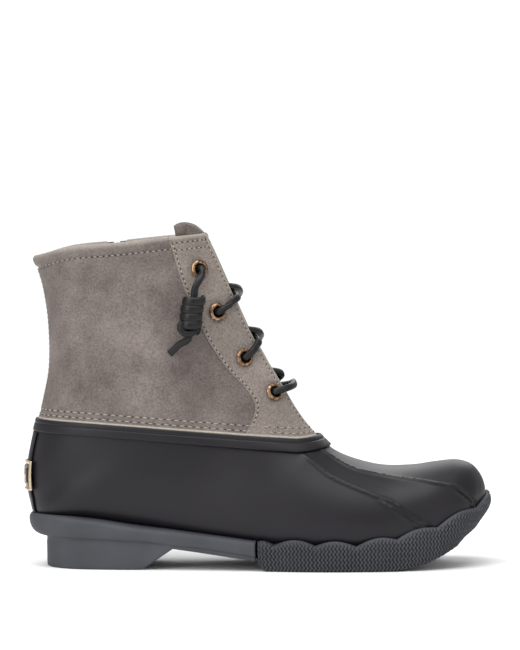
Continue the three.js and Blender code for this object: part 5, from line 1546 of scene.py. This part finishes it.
# ==== lace
# One rawhide lace, threaded once and knotted off for good: it crosses from eyelet to eyelet, over one
# strand and under the other, with a bar at the foot. Its two free ends are the knotted ones made above.

GRIP = 4.4  # how deep an eyelet's barrel is
BEND = 1.8
OVER, UNDER = 1.4, -3.5
L, M = EYELETS["lateral"], EYELETS["medial"]
OTHER = {"lateral": "medial", "medial": "lateral"}


def through(spot, outward):
    """Straight through an eyelet, outward or inward."""
    made = [lift(*spot, out) for out in (-BEND - GRIP, -GRIP / 3, BEND)]
    return made if outward else made[::-1]


def between(a, b, share):
    return tuple(p + (q - p) * share for p, q in zip(a, b))


def strand(side, k, cross_out):
    """From an eyelet over its facing's edge, across the tongue, and under the other side to the one below."""
    sign, upper, lower = SIDES[side], EYELET_PLACES[k], EYELET_PLACES[k - 1]

    def edge(which, share, extra):
        z = upper[1] + (lower[1] - upper[1]) * share
        return on_front(which * (facing_gap(z) + extra), z)

    start, far = EYELETS[side][k], EYELETS[OTHER[side]][k - 1]
    near_edge, far_edge = edge(sign, 0.3, 1), edge(-sign, 0.72, 2)
    return [
        lift(*between(start, near_edge, 0.3), 4.6), lift(*between(start, near_edge, 0.65), 3.7),
        lift(*near_edge, 2.9), lift(*edge(sign, 0.5, -facing_gap(upper[1])), cross_out),
        lift(*far_edge, -6.6), lift(*between(far_edge, far, 0.6), -7.4),
    ]


def low_strand(side, cross_out):
    """From a lowest eyelet to the other side's next one, behind both facings."""
    sign = SIDES[side]
    low_eye, high_eye = EYELETS[side][3], EYELETS[OTHER[side]][2]
    z4, z3 = EYELET_PLACES[3][1], EYELET_PLACES[2][1]
    near = on_front(sign * (facing_gap(z4) + 1), z4 + (z3 - z4) * 0.25)
    far = on_front(-sign * (facing_gap(z3) + 1), z4 + (z3 - z4) * 0.75)
    return [
        lift(*between(low_eye, near, 0.5), -7.4), lift(*near, -6.4),
        lift(*on_front(0, (z4 + z3) / 2), cross_out),
        lift(*far, -6.4), lift(*between(high_eye, far, 0.5), -7.4),
    ]


reach = abs(float(form_point(*L[3])[1]))
bar = [lift(*on_front(share * reach, EYELET_PLACES[3][1] + 3.5 * (1 - abs(share))), out)
       for share, out in ((-0.76, 5), (-0.45, 4.3), (0, 3.6), (0.45, 4.3), (0.76, 5))]
route = [
    *[lift(*L[0], out) for out in (1.2, -GRIP / 3, -BEND - GRIP)], *strand("medial", 1, OVER)[::-1],
    *through(M[1], False), *strand("lateral", 2, UNDER)[::-1], *through(L[2], False),
    *low_strand("medial", OVER - 2)[::-1], *through(M[3], True), *bar[::-1], *through(L[3], False),
    *low_strand("lateral", UNDER - 2.5), *through(M[2], True), *strand("medial", 2, OVER),
    *through(L[1], True), *strand("lateral", 1, UNDER),
    *[lift(*M[0], out) for out in (-BEND - GRIP, -GRIP / 3, 1.2)],
]
line = cord_line(route, 900)
# The strip keeps its flat side away from the middle of the instep.
instep = np.column_stack([np.interp(line[:, 2], [90, 200], [70, 15]), np.zeros(len(line)), line[:, 2] - 25])
points, faces = swept(line, softened_outs(line, unit(line - instep)), strip_section(4.2, 3.5, 3.0))
fitted(make_piece("rawhide_lace", points, faces, rawhide), "lace")

# ==== zip
# A metal zip on the inner side opens the boot, as the lace stays tied. Woven tapes are sewn behind the
# slot. Brass teeth are clamped on their edges, and a slider with a pull runs between top and bottom
# stops.

# Woven tape: herringbone of black polyester with rows a millimetre apart.
zip_weave, tree, shader, place = new_material("woven_zip_tape", Roughness=0.85, Sheen_Weight=0.2)
weave = add(tree, "ShaderNodeTexWave", {"bands_direction": "DIAGONAL"}, Vector=place, Scale=330.0,
            Distortion=0.4).outputs["Fac"]
tone = add(tree, "ShaderNodeValToRGB", {"stops": [(0, "0E0E10"), (1, "242427")]}, Fac=weave)
bump = add(tree, "ShaderNodeBump", Height=weave, Strength=0.4, Distance=0.0002)
feed(tree, shader, Base_Color=tone, Normal=bump)

# The chain runs straight up from its foot, in the frame's own directions.
zip_foot = np.array([4.06472, 29.90974, 93.05716])
zip_up = np.array([0.0611, 0.01621, 0.998])
zip_across = np.array([-0.98303, -0.17227, 0.06298])
zip_outward = np.array([-0.17294, 0.98492, -0.00541])
ZIP = {"length": 95.44, "pitch": 2.6, "stop": 3.0, "clear": 0.8, "aside": 1.35, "teeth": 30}
TAPE = {"outer": -2.4, "inner": -3.2, "near": 1.9, "far": 13, "above_shell": 2, "below_collar": 0.6}
GUARD = {"outer": -7.2, "inner": -8.2, "half_width": 15, "above_shell": 0.4, "below_collar": 2}

# One tooth: a clamped bar with a rounded nose and shoulders.
TEETH = {"Pitch": 0.0026, "Reach": 0.0026, "Height": 0.00125, "Depth": 0.0024, "Material": antique_brass}
teeth_tree, given = new_tree("zip_teeth", TEETH)
spaced, ahead, turn = spaced_along(teeth_tree, given)
ball = add(teeth_tree, "GeometryNodeMeshUVSphere", Segments=8, Rings=6, Radius=0.62)
size = add(teeth_tree, "ShaderNodeCombineXYZ", X=given["Height"], Y=given["Reach"], Z=given["Depth"])
teeth = add(teeth_tree, "GeometryNodeInstanceOnPoints", Points=spaced, Instance=ball, Rotation=turn,
            Scale=size)
real = add(teeth_tree, "GeometryNodeRealizeInstances", Geometry=teeth)
painted = add(teeth_tree, "GeometryNodeSetMaterial", Geometry=real, Material=given["Material"])
add(teeth_tree, "NodeGroupOutput", Geometry=painted)


def zip_panel(name, left, right, size, rows):
    """A woven strip behind the slot, from the shell up to the collar, between two sides."""
    low, high = lambda x: band_top(x) + size["above_shell"], lambda x: collar(x) - size["below_collar"]
    t, turn = panel_grid(low, high, np.linspace(0, 1, rows), np.zeros(rows), left, right, 24)
    return slab(name, t, turn, size["outer"], size["inner"], zip_weave)


for name, sign, phase in (("rear", 1, 0.0), ("front", -1, 0.5)):
    end_space = ZIP["stop"] + ZIP["clear"]
    up = np.linspace(end_space + phase * ZIP["pitch"], ZIP["length"] - end_space, ZIP["teeth"])
    points = zip_foot + zip_up * up[:, None] + zip_across * (sign * ZIP["aside"])
    row = run_through(f"{name}_tooth_row", points, np.tile(zip_outward, ZIP["teeth"]),
                      [(k, k + 1) for k in range(ZIP["teeth"] - 1)])
    fitted(grown(row, teeth_tree, TEETH), f"zip_teeth_{name}")
    left, right = (-TAPE["far"], -TAPE["near"]) if sign > 0 else (TAPE["near"], TAPE["far"])
    tape = zip_panel(f"{name}_zip_tape", from_zip(left), from_zip(right), TAPE, 90)
    fitted(tape, f"zip_tape_{name}")


def softened_copy(node, name, material, width=0.22):
    """A merged copy of a node with its sharp edges rounded, which stands for it."""
    work = bmesh.new()
    work.from_mesh(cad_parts[node].data)
    bmesh.ops.remove_doubles(work, verts=work.verts, dist=1e-6)
    bmesh.ops.dissolve_limit(work, angle_limit=math.radians(3), verts=work.verts, edges=work.edges)
    sharp = [e for e in work.edges if e.is_manifold and e.calc_face_angle(0) > math.radians(32)]
    bmesh.ops.bevel(work, geom=sharp, offset=width / 1000, segments=2, affect="EDGES", clamp_overlap=True)
    mesh = bpy.data.meshes.new(name)
    work.to_mesh(mesh)
    work.free()
    mesh.polygons.foreach_set("use_smooth", [True] * len(mesh.polygons))
    mesh.polygons.foreach_set("material_index", [0] * len(mesh.polygons))
    mesh.materials.clear()
    mesh.materials.append(material)
    mesh.set_sharp_from_angle(angle=math.radians(40))
    piece = bpy.data.objects.new(name, mesh)
    bpy.context.scene.collection.objects.link(piece)
    return piece


for node, name, body in (
    ("zip_top_stop_rear", "rear_top_stop", "boot"), ("zip_top_stop_front", "front_top_stop", "boot"),
    ("zip_bottom_stop", "bottom_stop", "boot"), ("zip_slider", "slider_body", "slider"),
    ("zip_pull", "slider_pull", "pull"),
):
    fitted(softened_copy(node, name, antique_brass), node, body)

half = GUARD["half_width"]
guard = zip_panel("zip_guard_flap", from_zip(-half), from_zip(half), GUARD, 70)
fitted(guard, "zip_guard")
